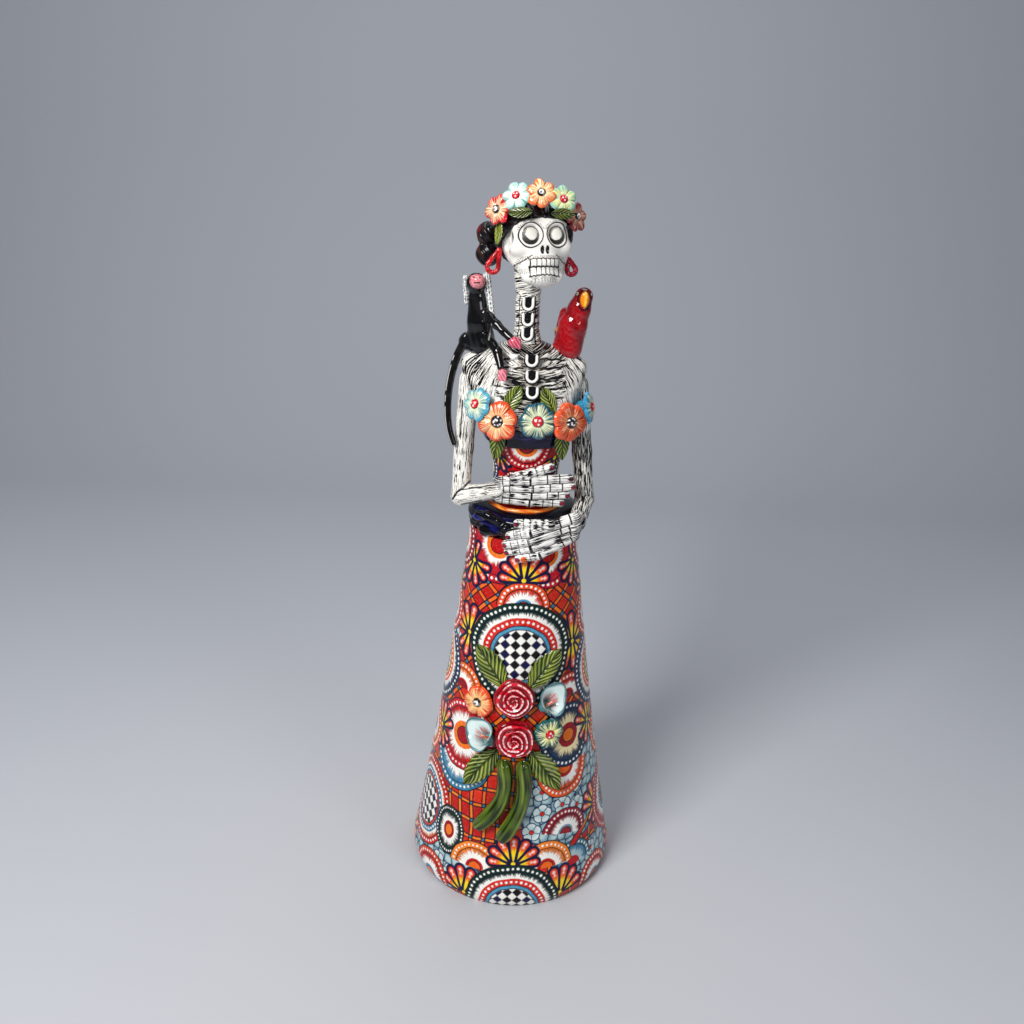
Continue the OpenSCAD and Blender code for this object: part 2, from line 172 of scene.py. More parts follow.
# ------------------------------------------------------------------ mesh helpers
def mesh_obj(name, V, F, mat, body, nodes=(), paint=None, flow=None, smooth=True, weld=False):
    """V in millimetres. F is an (n,4) or (n,3) array, or a list."""
    me = bpy.data.meshes.new(name)
    V = np.asarray(V, float)
    if isinstance(F, np.ndarray):
        k = F.shape[1]
        me.vertices.add(len(V)); me.vertices.foreach_set("co", (V * MM).astype(np.float32).ravel())
        me.loops.add(F.size); me.loops.foreach_set("vertex_index", F.astype(np.int32).ravel())
        me.polygons.add(len(F)); me.polygons.foreach_set("loop_start", np.arange(0, F.size, k, dtype=np.int32))
        me.update(calc_edges=True)
        me.validate()
    else:
        me.from_pydata((V * MM).tolist(), [], [list(map(int, f)) for f in F])
        me.update()
    if paint is not None:
        a = me.color_attributes.new("paint", "FLOAT_COLOR", "POINT")
        c = np.ones((len(V), 4), np.float32); c[:, :3] = np.clip(paint, 0, 1)
        a.data.foreach_set("color", c.ravel())
    if flow is not None:
        a = me.attributes.new("flow", "FLOAT_VECTOR", "POINT")
        a.data.foreach_set("vector", np.asarray(flow, np.float32).ravel())
    if smooth:
        me.polygons.foreach_set("use_smooth", [True] * len(me.polygons))
    me.materials.append(mat)
    ob = bpy.data.objects.new(name, me)
    bpy.context.scene.collection.objects.link(ob)
    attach(ob, body)
    if nodes:
        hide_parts(*nodes)
    return ob


def grid_faces(nu, nv, wrap_u=False, wrap_v=False, off=0, flip=False):
    """Quads of a grid whose vertex (i, j) is i * nv + j."""
    iu = np.arange(nu if wrap_u else nu - 1); iv = np.arange(nv if wrap_v else nv - 1)
    I, J = np.meshgrid(iu, iv, indexing="ij")
    I2 = (I + 1) % nu; J2 = (J + 1) % nv
    a, b, c, d = I * nv + J, I2 * nv + J, I2 * nv + J2, I * nv + J2
    q = np.stack([a, b, c, d] if not flip else [a, d, c, b], -1).reshape(-1, 4)
    return q + off


def surface_nets(f, lo, hi, h, project=2):
    """Closed mesh of f(P) < 0 on a grid of spacing h, its vertices then moved onto the surface."""
    lo = np.asarray(lo, float); hi = np.asarray(hi, float)
    n = np.ceil((hi - lo) / h).astype(int) + 1
    ax = [lo[i] + h * np.arange(n[i]) for i in range(3)]
    D = np.empty(n)
    step = max(1, int(400000 / (n[1] * n[2])))
    YZ = np.stack(np.meshgrid(ax[1], ax[2], indexing="ij"), -1).reshape(-1, 2)
    for i in range(0, n[0], step):
        xs = ax[0][i:i + step]
        P = np.empty((len(xs), len(YZ), 3)); P[..., 0] = xs[:, None]; P[..., 1:] = YZ[None]
        D[i:i + step] = f(P.reshape(-1, 3)).reshape(len(xs), n[1], n[2])
    D = np.where(np.abs(D) < 1e-9, 1e-9, D)
    m = n - 1
    acc = np.zeros((3, m[0] * m[1] * m[2])); cnt = np.zeros(m[0] * m[1] * m[2])
    quads = []
    for axis in range(3):
        o1, o2 = (axis + 1) % 3, (axis + 2) % 3
        sl = [slice(None)] * 3; sl2 = [slice(None)] * 3
        sl[axis] = slice(0, n[axis] - 1); sl2[axis] = slice(1, n[axis])
        a, b = D[tuple(sl)], D[tuple(sl2)]
        idx = np.argwhere((a < 0) != (b < 0))
        if not len(idx):
            continue
        av, bv = a[tuple(idx.T)], b[tuple(idx.T)]
        pt = lo + idx * h
        pt[:, axis] += h * av / (av - bv)
        cells = []
        ok_all = np.ones(len(idx), bool)
        for d1, d2 in ((0, 0), (1, 0), (1, 1), (0, 1)):
            c = idx.copy(); c[:, o1] -= d1; c[:, o2] -= d2
            ok = (c >= 0).all(1) & (c < m).all(1)
            flat = np.where(ok, (c[:, 0] * m[1] + c[:, 1]) * m[2] + c[:, 2], -1)
            cells.append(flat); ok_all &= ok
            g = flat[ok]
            cnt += np.bincount(g, minlength=len(cnt))
            for k in range(3):
                acc[k] += np.bincount(g, weights=pt[ok, k], minlength=len(cnt))
        q = np.stack(cells, 1)[ok_all]
        s = av[ok_all] < 0
        q[~s] = q[~s][:, ::-1]
        quads.append(q)
    used = np.flatnonzero(cnt > 0)
    V = (acc[:, used] / cnt[used]).T
    remap = np.full(len(cnt), -1); remap[used] = np.arange(len(used))
    F = remap[np.concatenate(quads)]
    for _ in range(project):
        e = 0.25 * h
        d0 = f(V)
        g = np.stack([(f(V + np.eye(3)[k] * e) - d0) / e for k in range(3)], 1)
        gl = np.maximum((g * g).sum(1), 0.05)
        V = V - np.clip(d0 / gl, -h, h)[:, None] * g
    return V, F


def normals_of(f, V, e=0.4):
    d0 = f(V)
    g = np.stack([(f(V + np.eye(3)[k] * e) - d0) / e for k in range(3)], 1)
    return g / np.maximum(np.linalg.norm(g, axis=1), 1e-6)[:, None]


def sph(P, c, r): return np.linalg.norm(P - np.asarray(c, float), axis=1) - r


def seg(P, a, b, r1, r2=None):
    r2 = r1 if r2 is None else r2
    a = np.asarray(a, float); b = np.asarray(b, float); ab = b - a
    t = np.clip(((P - a) @ ab) / (ab @ ab), 0, 1)
    return np.linalg.norm(P - a - t[:, None] * ab, axis=1) - (r1 + (r2 - r1) * t)


def ell(P, c, r):
    q = (P - np.asarray(c, float)) / np.asarray(r, float)
    k0 = np.linalg.norm(q, axis=1); k1 = np.linalg.norm(q / np.asarray(r, float), axis=1)
    return k0 * (k0 - 1) / np.maximum(k1, 1e-6)


def smin(a, b, k):
    h = np.clip(0.5 + 0.5 * (b - a) / k, 0, 1)
    return b * (1 - h) + a * h - k * h * (1 - h)


def smax(a, b, k): return -smin(-a, -b, k)


def chain_sdf(P, pts, r0, r1, k=0.0):
    n = len(pts) - 1
    d = None
    for i in range(n):
        a = r0 + (r1 - r0) * i / n; b = r0 + (r1 - r0) * (i + 1) / n
        e = seg(P, pts[i], pts[i + 1], a, b)
        d = e if d is None else (smin(d, e, k) if k else np.minimum(d, e))
    return d


def along_chain(P, pts):
    """Arc length along, angle around in millimetres, and distance, for the nearest point of a polyline."""
    pts = np.asarray(pts, float)
    best = np.full(len(P), 1e9); s_out = np.zeros(len(P)); a_out = np.zeros(len(P))
    s0 = 0.0
    for i in range(len(pts) - 1):
        ab = pts[i + 1] - pts[i]; L = np.linalg.norm(ab); u = ab / L
        t = np.clip(((P - pts[i]) @ ab) / (L * L), 0, 1)
        q = P - pts[i] - t[:, None] * ab
        d = np.linalg.norm(q, axis=1)
        side = np.cross(u, [0, -1, 0.01]); side /= np.linalg.norm(side)
        oth = np.cross(u, side)
        ang = np.arctan2(q @ side, q @ oth)
        m = d < best
        best[m] = d[m]; s_out[m] = s0 + t[m] * L; a_out[m] = ang[m]
        s0 += L
    return s_out, a_out, best


def frame_at(p, d, up=(0, 0, 1)):
    """Matrix with +Z along d and +Y near up."""
    z = np.asarray(d, float); z = z / np.linalg.norm(z)
    y = np.asarray(up, float) - z * (np.asarray(up, float) @ z)
    if np.linalg.norm(y) < 1e-3:
        y = np.array([0, 1, 0]) - z * z[1]
    y = y / np.linalg.norm(y); x = np.cross(y, z)
    return np.stack([x, y, z], 1), np.asarray(p, float)


def place(V, fr, rot=0.0):
    R, p = fr
    c, s = math.cos(rot), math.sin(rot)
    V = np.asarray(V, float)
    W = np.stack([V[:, 0] * c - V[:, 1] * s, V[:, 0] * s + V[:, 1] * c, V[:, 2]], 1)
    return W @ R.T + p


def join(parts):
    """[(V, F, paint, flow or None)] to one."""
    Vs, Fs, Cs, Ls = [], [], [], []
    off = 0
    for p in parts:
        Vs.append(p[0]); Fs.append(np.asarray(p[1]) + off); Cs.append(p[2])
        Ls.append(p[3] if len(p) > 3 and p[3] is not None else np.zeros((len(p[0]), 3)))
        off += len(p[0])
    return np.concatenate(Vs), np.concatenate(Fs), np.concatenate(Cs), np.concatenate(Ls)


def tube(pts, radii, n=20, sect=None, caps=True):
    """Tube along points with radii (or (rx, ry) pairs), as quads, open at both ends. Returns V, F, s, theta."""
    pts = np.asarray(pts, float); m = len(pts)
    T = np.gradient(pts, axis=0); T /= np.linalg.norm(T, axis=1)[:, None]
    up = np.array([0, -1, 0.0])
    if abs(T[0] @ up) > 0.9: up = np.array([1.0, 0, 0])
    N = []
    v = up
    for t in T:
        v = v - t * (v @ t); v /= np.linalg.norm(v); N.append(v.copy())
    N = np.array(N); B = np.cross(T, N)
    th = np.linspace(0, 2 * pi, n, endpoint=False)
    r = np.asarray(radii, float)
    if r.ndim == 1: r = np.stack([r, r], 1)
    V = pts[:, None, :] + r[:, 0, None, None] * np.cos(th)[None, :, None] * N[:, None, :] + r[:, 1, None, None] * np.sin(th)[None, :, None] * B[:, None, :]
    s = np.concatenate([[0], np.cumsum(np.linalg.norm(np.diff(pts, axis=0), axis=1))])
    S = np.repeat(s, n); TH = np.tile(th, m)
    F = grid_faces(m, n, wrap_v=True, flip=True)
    V = V.reshape(-1, 3)
    return V, F, S, TH


def round_tube(pts, radii, n=20, m=None, closed_ends=4):
    """Tube with hemispherical ends."""
    pts = np.asarray(pts, float)
    if m:
        s = np.concatenate([[0], np.cumsum(np.linalg.norm(np.diff(pts, axis=0), axis=1))])
        q = np.linspace(0, s[-1], m)
        # smooth interpolation
        pts2 = np.stack([np.interp(q, s, pts[:, k]) for k in range(3)], 1)
        rr = np.interp(q, s, np.linspace(0, 1, len(radii)) * 0 + np.asarray(radii, float) if len(radii) == len(s) else np.interp(s, np.linspace(0, s[-1], len(radii)), radii))
        for _ in range(max(1, m // 12)):
            pts2[1:-1] = (pts2[:-2] + 2 * pts2[1:-1] + pts2[2:]) / 4
        pts, radii = pts2, rr
    radii = np.asarray(radii, float)
    t0 = pts[0] - pts[1]; t0 /= np.linalg.norm(t0); t1 = pts[-1] - pts[-2]; t1 /= np.linalg.norm(t1)
    a = np.linspace(pi / 2 * 0.985, 0, closed_ends + 1)[:-1]
    P = [pts[0] + t0 * radii[0] * math.sin(x) for x in a] + list(pts) + [pts[-1] + t1 * radii[-1] * math.sin(x) for x in a[::-1]]
    R = [radii[0] * math.cos(x) for x in a] + list(radii) + [radii[-1] * math.cos(x) for x in a[::-1]]
    P = np.array(P); R = np.array(R)
    V, F, S, TH = tube(P, R, n)
    k = len(P)
    V = np.concatenate([V, [P[0], P[-1]]])
    S = np.append(S, [0, S.max()]); TH = np.append(TH, [0, 0])
    i0, i1 = k * n, k * n + 1
    caps = []
    for j in range(n):
        caps.append([i0, j, (j + 1) % n, (j + 1) % n])
        caps.append([i1, (k - 1) * n + (j + 1) % n, (k - 1) * n + j, (k - 1) * n + j])
    return V, F, np.array(caps), S, TH


def tri_fix(F):
    """List of faces from quads that may repeat a corner."""
    out = []
    for f in F:
        g = []
        for v in f:
            if v not in g: g.append(int(v))
        if len(g) > 2: out.append(g)
    return out


# ------------------------------------------------------------------ painted pottery pattern
class Canvas:
    """Painted skin of revolution: az in radians (0 at the front, + to the figure's left), z and radius in mm per point."""

    def __init__(s, az, z, rad, base):
        s.az, s.z, s.rad = az, z, rad
        s.C = np.tile(np.asarray(base, float), (len(az), 1))
        s.H = np.zeros(len(az))
        s.order = np.argsort(z, kind="stable")
        s.zs = z[s.order]

    def local(s, az0, z0, r):
        a, b = np.searchsorted(s.zs, [z0 - r, z0 + r])
        idx = s.order[a:b]
        d = (s.az[idx] - math.radians(az0) + pi) % (2 * pi) - pi
        u = d * s.rad[idx]
        m = np.abs(u) < r
        idx, u = idx[m], u[m]
        v = (s.z[idx] - z0) * 1.012
        m = u * u + v * v < r * r
        return idx[m], u[m], v[m]

    def put(s, idx, m, col, h=None):
        """m is a weight 0-1, col one colour or one per point."""
        w = np.clip(m, 0, 1)[:, None]
        s.C[idx] = s.C[idx] * (1 - w) + np.asarray(col) * w
        if h is not None:
            s.H[idx] = s.H[idx] * (1 - w[:, 0]) + h * w[:, 0]

    def medallion(s, az0, z0, R, rings, cut=None, seed=0, turn=0.0, sx=1.0, sy=1.0, dot=1.7, edge=LINE):
        """rings: list of (outer, inner, kind, colour, colour2) with radii in mm, outermost first. cut: 'up' keeps v > 0, 'down' v < 0."""
        idx, u, v = s.local(az0, z0, R * max(sx, sy) + 3)
        c, n = math.cos(turn), math.sin(turn)
        u, v = (u * c + v * n) / sx, (-u * n + v * c) / sy
        wob = 1 + 0.010 * np.sin(5 * np.arctan2(v, u) + seed) + 0.006 * np.sin(11 * np.arctan2(v, u) + 2 * seed)
        r = np.hypot(u, v) / wob
        th = np.arctan2(v, u)
        keep = r < R + 1.6
        if cut == "up": keep &= v > -0.6
        if cut == "down": keep &= v < 0.6
        idx, u, v, r, th = idx[keep], u[keep], v[keep], r[keep], th[keep]
        s.put(idx, 1 - ss(R + 0.8, R + 1.6, r), edge, 0.22)
        for k, (ro, ri, kind, ca, cb) in enumerate(rings):
            m = (1 - ss(ro - 0.7, ro, r))
            if kind in ("flat", "wash"):
                st = 0.5 + 0.5 * np.sin(th * 9 + seed + k) * np.sin(th * 23 + 2 * seed)
                s.put(idx, m, mixc(ca, cb, 0.45 * st), 0.12)
            elif kind == "dots":
                s.put(idx, m, mixc(ca, cb, 0.30 * ss(0.2, 1, hash1(np.floor(th * 14), seed + k))), 0.12)
                rm = (ro + ri) / 2
                nd = max(6, int(round(2 * pi * rm / (dot * 3.9))))
                j = np.round(th / (2 * pi) * nd)
                tj = j * 2 * pi / nd
                jr = rm + 0.35 * (hash1(j, seed) - 0.5)
                dr = dot * (0.88 + 0.24 * hash1(j, seed + 5))
                dd = np.hypot(r * np.cos(th) - jr * np.cos(tj), r * np.sin(th) - jr * np.sin(tj))
                s.put(idx, 1 - ss(dr - 0.25, dr + 0.3, dd), WHITE, 0.12 + 0.6)
            elif kind == "feather":
                nf = max(16, int(2 * pi * ro / 2.1))
                q = th / (2 * pi) * nf
                ph = hash1(np.floor(q), seed + k)
                tri = np.abs((q % 1) - 0.5) * 2
                t = (ro - r) / max(ro - ri, 1)
                bound = 0.36 + 0.56 * ph * (1 - 0.8 * tri ** 2)
                col = mixc(ca, cb, ss(bound - 0.28, bound + 0.08, t))
                s.put(idx, m, col, 0.12)
                fine = (tri < 0.34) & (t > 0.02) & (t < 0.36 + 0.42 * ph) & (hash1(np.floor(q), seed + 31) > 0.30)
                s.put(idx[fine], np.full(fine.sum(), 0.9), mixc(ca, LINE, 0.9), 0.16)
            elif kind == "checker":
                s.put(idx, m, WHITE, 0.12)
                a = (u + v) / ca; b = (u - v) / ca
                ia, ib = np.floor(a), np.floor(b)
                fa, fb = a - ia - 0.5, b - ib - 0.5
                on = ((ia + ib) % 2 == 0)
                dark = np.where((hash1(ia * 3 + ib * 7, 2) > 0.45)[:, None], lin(16, 16, 66), BLACK)
                e = 0.5 - np.maximum(np.abs(fa), np.abs(fb))
                s.put(idx, m * on * ss(0.0, 0.05, e), dark, 0.2)
                s.put(idx, m * (1 - ss(0.02, 0.06, e)) * 0.75, LINE, 0.1)
            if kind not in ("feather", "wash") and k + 1 < len(rings):
                s.put(idx, (1 - ss(0.7, 1.2, np.abs(r - ri))), edge, 0.25)

    def fan(s, az0, z0, L, way=0.0, n=7, spread=150, seed=0, dark=NAVY, full=False):
        """Leaf-shaped petals fanning out of a yellow dot, yellow at the root, orange and red towards a white-streaked tip."""
        idx, u, v = s.local(az0, z0, L * 1.12 + 3)
        sp = math.radians(360 - 360 / n if full else spread)
        order = sorted(range(n), key=lambda i: -abs(i - (n - 1) / 2))
        for i in order:
            a = math.radians(way) + (i / (n - 1) - 0.5) * sp
            Li = L * (1.0 - (0.0 if full else 0.10) * (abs(i / (n - 1) - 0.5) * 2) ** 2)
            l = u * math.sin(a) + v * math.cos(a)
            w = u * math.cos(a) - v * math.sin(a)
            t = l / Li
            W = Li * min(0.17, 0.9 * math.sin(sp / (n - 1) / 2) * 0.80)
            tc = np.clip(t, 0, 1)
            cap = 1 - W / Li
            hw = np.where(t < cap, W * np.clip(0.16 + 0.84 * (tc / cap) ** 0.85, 0, 1), np.sqrt(np.maximum(W * W - ((t - cap) * Li) ** 2, 0)))
            hw = np.where((t > 0.0) & (t < 1), hw, 0)
            d = np.where(t < cap, np.abs(w) - hw, np.hypot(w, (t - cap) * Li) - W)
            out = (t > 0.0) & (t < 1.12)
            s.put(idx, (1 - ss(2.3, 3.0, d)) * out, dark, 0.28)
            inn = (1 - ss(-1.7, -1.0, d)) * (t > 0.08)
            col = mixc(mixc(YELLOW, lin(240, 110, 24), ss(0.44, 0.58, t + 0.05 * np.sin(w * 2))), lin(228, 58, 26), ss(0.58, 0.74, t + 0.05 * np.sin(w * 3 + i)))
            s.put(idx, inn, col, 0.12)
            tip = ss(0.62, 0.70, t) * (1 - ss(0.86, 0.93, t)) * (1 - ss(0.10, 0.42, np.abs(w) / np.maximum(hw, 0.1) - 0.12 * np.sin(t * 40)))
            s.put(idx, inn * tip * 0.85, lin(252, 226, 214), 0.25)
        r = np.hypot(u, v)
        s.put(idx, 1 - ss(3.4, 4.0, r), dark, 0.3)
        s.put(idx, 1 - ss(2.5, 3.0, r), YELLOW, 0.75)

    def scallop(s, az0, z0, R, cut="up", ca=RED, cb=WHITE, core=RED, arch=BLUE, seed=0, turn=0.0, edge_band=0.26, rim=None):
        rim = rim if rim is not None else mixc(ca, ORANGE, 0.35)
        s.medallion(az0, z0, R, [(R, R * (1 - edge_band), "dots", rim, ca), (R * (1 - edge_band), R * 0.42, "feather", ca, cb),
                                 (R * 0.36, R * 0.24, "flat", arch, arch), (R * 0.24, 0, "flat", core, core)], cut=cut, seed=seed, dot=1.55, turn=turn)

    def plaid(s, m, pu, pv, turn=0.0, seed=0, band=0.27):
        idx = np.flatnonzero(m)
        d = (s.az[idx] + pi) % (2 * pi) - pi
        u = d * s.rad[idx]; v = s.z[idx]
        c, n = math.cos(turn), math.sin(turn)
        u, v = u * c + v * n, -u * n + v * c
        u = u + 0.8 * np.sin(v * 0.09 + seed); v = v + 0.8 * np.sin(u * 0.11 + seed)
        a, b = (u / pu) % 1, (v / pv) % 1
        da, db = np.abs(a - 0.5), np.abs(b - 0.5)
        ia, ib = np.floor(u / pu), np.floor(v / pv)
        red = mixc(lin(176, 16, 16), lin(214, 48, 26), hash1(ia * 5 + ib * 3, seed))
        one = np.ones(len(idx))
        s.put(idx, one, red, 0.05)
        ba, bb = da > 0.5 - band / 2, db > 0.5 - band * pu / pv / 2
        s.put(idx, (ba | bb).astype(float), mixc(ORANGE, AMBER, 0.5 * hash1(ia + ib * 2, 4)), 0.1)
        s.put(idx, (ba & bb).astype(float), mixc(BLUE, DBLUE, 0.35), 0.18)
        for dd, pp, bw in ((da, pu, band), (db, pv, band * pu / pv)):
            s.put(idx, 1 - ss(0.6, 1.1, np.abs(dd - (0.5 - bw / 2)) * pp), LINE, 0.2)

    def posy(s, az0, z0, r=13.5, seed=0.0, petal=PALE, eye=lin(206, 40, 34)):
        """Flat five-petal flower with dark outlines."""
        idx, u, v = s.local(az0, z0, r * 1.15)
        rr, th = np.hypot(u, v), np.arctan2(v, u) + seed
        lob = r * (0.80 + 0.20 * np.abs(np.cos(2.5 * th)) ** 0.7)
        s.put(idx, 1 - ss(0.2, 0.9, rr - lob), DBLUE, 0.2)
        s.put(idx, 1 - ss(-1.4, -0.8, rr - lob), mixc(petal, WHITE, ss(0.3, 0.8, rr / r) * 0.45), 0.1)
        gap = np.abs(((th * 5 / (2 * pi)) % 1) - 0.5) * 2 * rr * 0.6
        s.put(idx, ((1 - ss(0.4, 0.8, np.abs(np.sin(2.5 * th)) * 0 + np.abs(np.cos(2.5 * th)) * rr * 0.4)) * (rr > r * 0.3) * (rr < lob)), DBLUE, 0.2)
        s.put(idx, 1 - ss(0.25, 0.30, rr / r), LINE, 0.25)
        s.put(idx, 1 - ss(0.18, 0.22, rr / r), eye, 0.4)

    def field(s, m, seed=0):
        """Pale blue-grey ground with cracked dark outlines of small petals."""
        idx = np.flatnonzero(m)
        d = (s.az[idx] + pi) % (2 * pi) - pi
        u = d * s.rad[idx]; v = s.z[idx]
        g = 13.0
        best = np.full(len(idx), 1e9); sec = np.full(len(idx), 1e9)
        iu, iv = np.floor(u / g), np.floor(v / g)
        for a in (-1, 0, 1):
            for b in (-1, 0, 1):
                cu, cv = iu + a, iv + b
                pu = (cu + 0.15 + 0.7 * hash1(cu * 13 + cv * 57, seed)) * g
                pv = (cv + 0.15 + 0.7 * hash1(cu * 31 + cv * 17, seed + 1)) * g
                dd = np.hypot(u - pu, v - pv)
                sec = np.minimum(sec, np.maximum(best, dd)); best = np.minimum(best, dd)
        s.put(idx, np.ones(len(idx)), mixc(mixc(PALE, WHITE, 0.05), lin(60, 112, 142), 0.62 * ss(2, 8, best)), 0.05)
        s.put(idx, 1 - ss(0.9, 1.8, sec - best), lin(16, 36, 58), 0.2)

    def drop(s, az0, z0, az1, z1, w, col=RED):
        za, zb = z0, z1
        idx, u, v = s.local((az0 + az1) / 2, (z0 + z1) / 2, 45)
        R = float(np.mean(s.rad[idx])) if len(idx) else 100
        ax, bx = math.radians((az0 - az1) / 2) * R, -math.radians((az0 - az1) / 2) * R
        ay, by = (za - zb) / 2, -(za - zb) / 2
        L = math.hypot(bx - ax, by - ay)
        t = ((u - ax) * (bx - ax) + (v - ay) * (by - ay)) / (L * L)
        q = ((u - ax) * (by - ay) - (v - ay) * (bx - ax)) / L
        hw = w * np.clip(t, 0, 1) ** 0.7 * np.sqrt(np.clip(1.0 - np.clip(t - 0.75, 0, 1) ** 2 * 16, 0, 1))
        inside = (t > 0) & (t < 1.0)
        s.put(idx, (1 - ss(1.0, 1.7, np.abs(q) - hw)) * inside, LINE, 0.2)
        s.put(idx, (1 - ss(-0.9, -0.3, np.abs(q) - hw)) * inside, mixc(AMBER, col, ss(0.15, 0.6, t)), 0.15)


CHK = 12.8
MANDALA = [(67, 58, "dots", DGREEN, lin(12, 44, 46)), (58, 49, "feather", DGREEN, WHITE), (49, 38, "dots", lin(214, 44, 34), RED),
           (38, 33, "flat", BLUE, lin(110, 176, 200)), (33, 0, "checker", CHK, None)]


def paint_skirt(cv):
    az = (cv.az + pi) % (2 * pi) - pi
    deg = np.degrees(az)
    z = cv.z
    D = lambda c: (deg - c + 180) % 360 - 180
    # ground: red with an orange and blue plaid, straight below, slanting above
    cv.plaid(z < 235, 17.8, 23.5, seed=1)
    cv.plaid((z >= 235), 20, 20, turn=pi / 4, seed=2)
    for c in (0, 180):
        d = D(c)
        for d0, d1, z0, z1, sd in ((4, 68, 80, 190, 3), (-82, -20, 2, 66, 4), (50, 100, 112, 222, 5), (42, 78, 4, 66, 8)):
            x_, y_ = (d - (d0 + d1) / 2) / ((d1 - d0) / 2), (z - (z0 + z1) / 2) / ((z1 - z0) / 2)
            an = np.arctan2(y_, x_)
            e = (np.abs(x_) ** 2.6 + np.abs(y_) ** 2.6) ** (1 / 2.6) + 0.07 * np.sin(3 * an + sd) + 0.045 * np.sin(8 * an + 2 * sd)
            cv.field(e < 1, seed=sd)
            rim = np.flatnonzero(np.abs(e - 1) < 0.035)
            cv.put(rim, 1 - ss(0.018, 0.034, np.abs(e[rim] - 1)), DBLUE, 0.25)
    for c in (0, 180):
        P = lambda a: c + a
        R = lambda zz: float(np.interp(zz, [0, 500], [135, 62]))
        # small flowers of the pale field
        for u_, zz in ((38.8, 163), (69.2, 138), (40, 133), (26.8, 109), (92, 160), (62, 170), (58, 112), (95, 128)):
            cv.posy(P(math.degrees(u_ / R(zz))), zz, 13.5, seed=zz)
        for a_, zz in ((-46, 38), (-58, 24), (-66, 46), (-36, 30), (-70, 320), (-66, 345), (-74, 300), (62, 30), (56, 52), (74, 180), (84, 150)):
            cv.posy(P(a_), zz, 12, seed=a_)
        # top band
        cv.medallion(P(-26), 486, 48, [(48, 38, "dots", lin(190, 20, 40), CRIM), (38, 29, "wash", lin(196, 18, 36), CRIM), (29.5, 16, "feather", lin(196, 18, 30), WHITE), (17, 10, "flat", ORANGE, AMBER), (10, 0, "flat", RED, CRIM)], seed=1)
        cv.medallion(P(27), 476, 42, [(42, 33, "dots", lin(190, 20, 40), CRIM), (33, 25, "wash", lin(196, 18, 36), CRIM), (25.5, 14, "feather", lin(196, 18, 30), WHITE), (15, 9, "flat", ORANGE, AMBER), (9, 0, "flat", RED, CRIM)], seed=2)
        cv.fan(P(-56), 456, 32, way=180, n=6, spread=170, seed=1)
        cv.fan(P(-56), 456, 29, way=-20, n=3, spread=60, seed=2)
        cv.fan(P(63), 459, 32, way=180, n=6, spread=170, seed=3)
        cv.fan(P(63), 459, 29, way=20, n=3, spread=60, seed=4)
        cv.medallion(P(92), 470, 34, [(34, 25, "dots", CRIM, RED), (25, 12, "feather", RED, WHITE), (12, 0, "flat", ORANGE, AMBER)], seed=5)
        cv.scallop(P(3), 411, 33, "up", ca=lin(224, 60, 30), core=RED, seed=3)
        cv.fan(P(2.6), 446, 35, n=7, spread=172, seed=5)
        # side fans at mid height
        cv.fan(P(-48.4), 364, 38, way=-10, n=6, spread=150, seed=6)
        cv.fan(P(-48.4), 364, 34, way=185, n=3, spread=60, seed=7)
        cv.fan(P(54), 354, 40, way=0, n=5, spread=130, seed=8)
        cv.fan(P(54), 354, 38, way=180, n=5, spread=130, seed=9)
        cv.scallop(P(-49), 288, 33, "up", ca=lin(238, 120, 40), core=CRIM, arch=RED, seed=8, rim=ORANGE)
        cv.scallop(P(45), 284, 31, "up", ca=lin(190, 34, 34), core=lin(150, 40, 40), arch=RED, seed=9)
        cv.medallion(P(2), 350, 67, MANDALA, seed=0)
        # around the bouquet
        cv.medallion(P(-41.5), 198, 49, [(49, 39, "dots", lin(58, 126, 160), DBLUE), (39, 20, "feather", BLUE, WHITE), (20, 0, "flat", RED, ORANGE)], seed=4)
        cv.medallion(P(-40), 226, 47, [(47, 37, "dots", lin(200, 26, 44), CRIM), (37, 19, "feather", RED, WHITE), (19, 11, "flat", ORANGE, AMBER), (11, 0, "flat", CRIM, RED)], seed=5)
        cv.scallop(P(38), 190, 42, "down", ca=lin(232, 84, 36), core=ORANGE, arch=RED, seed=6)
        cv.medallion(P(43), 231, 43, [(43, 34, "dots", lin(28, 54, 92), lin(20, 44, 70)), (34, 17, "feather", lin(30, 60, 92), CREAM), (17, 9, "flat", CRIM, RED), (9, 0, "flat", ORANGE, AMBER)], seed=7)
        cv.fan(P(-68), 215, 34, way=0, n=5, spread=120, seed=10)
        cv.fan(P(-68), 215, 30, way=180, n=5, spread=120, seed=11)
        cv.fan(P(68), 232, 36, way=0, n=5, spread=130, seed=12)
        cv.fan(P(68), 232, 32, way=180, n=4, spread=110, seed=13)
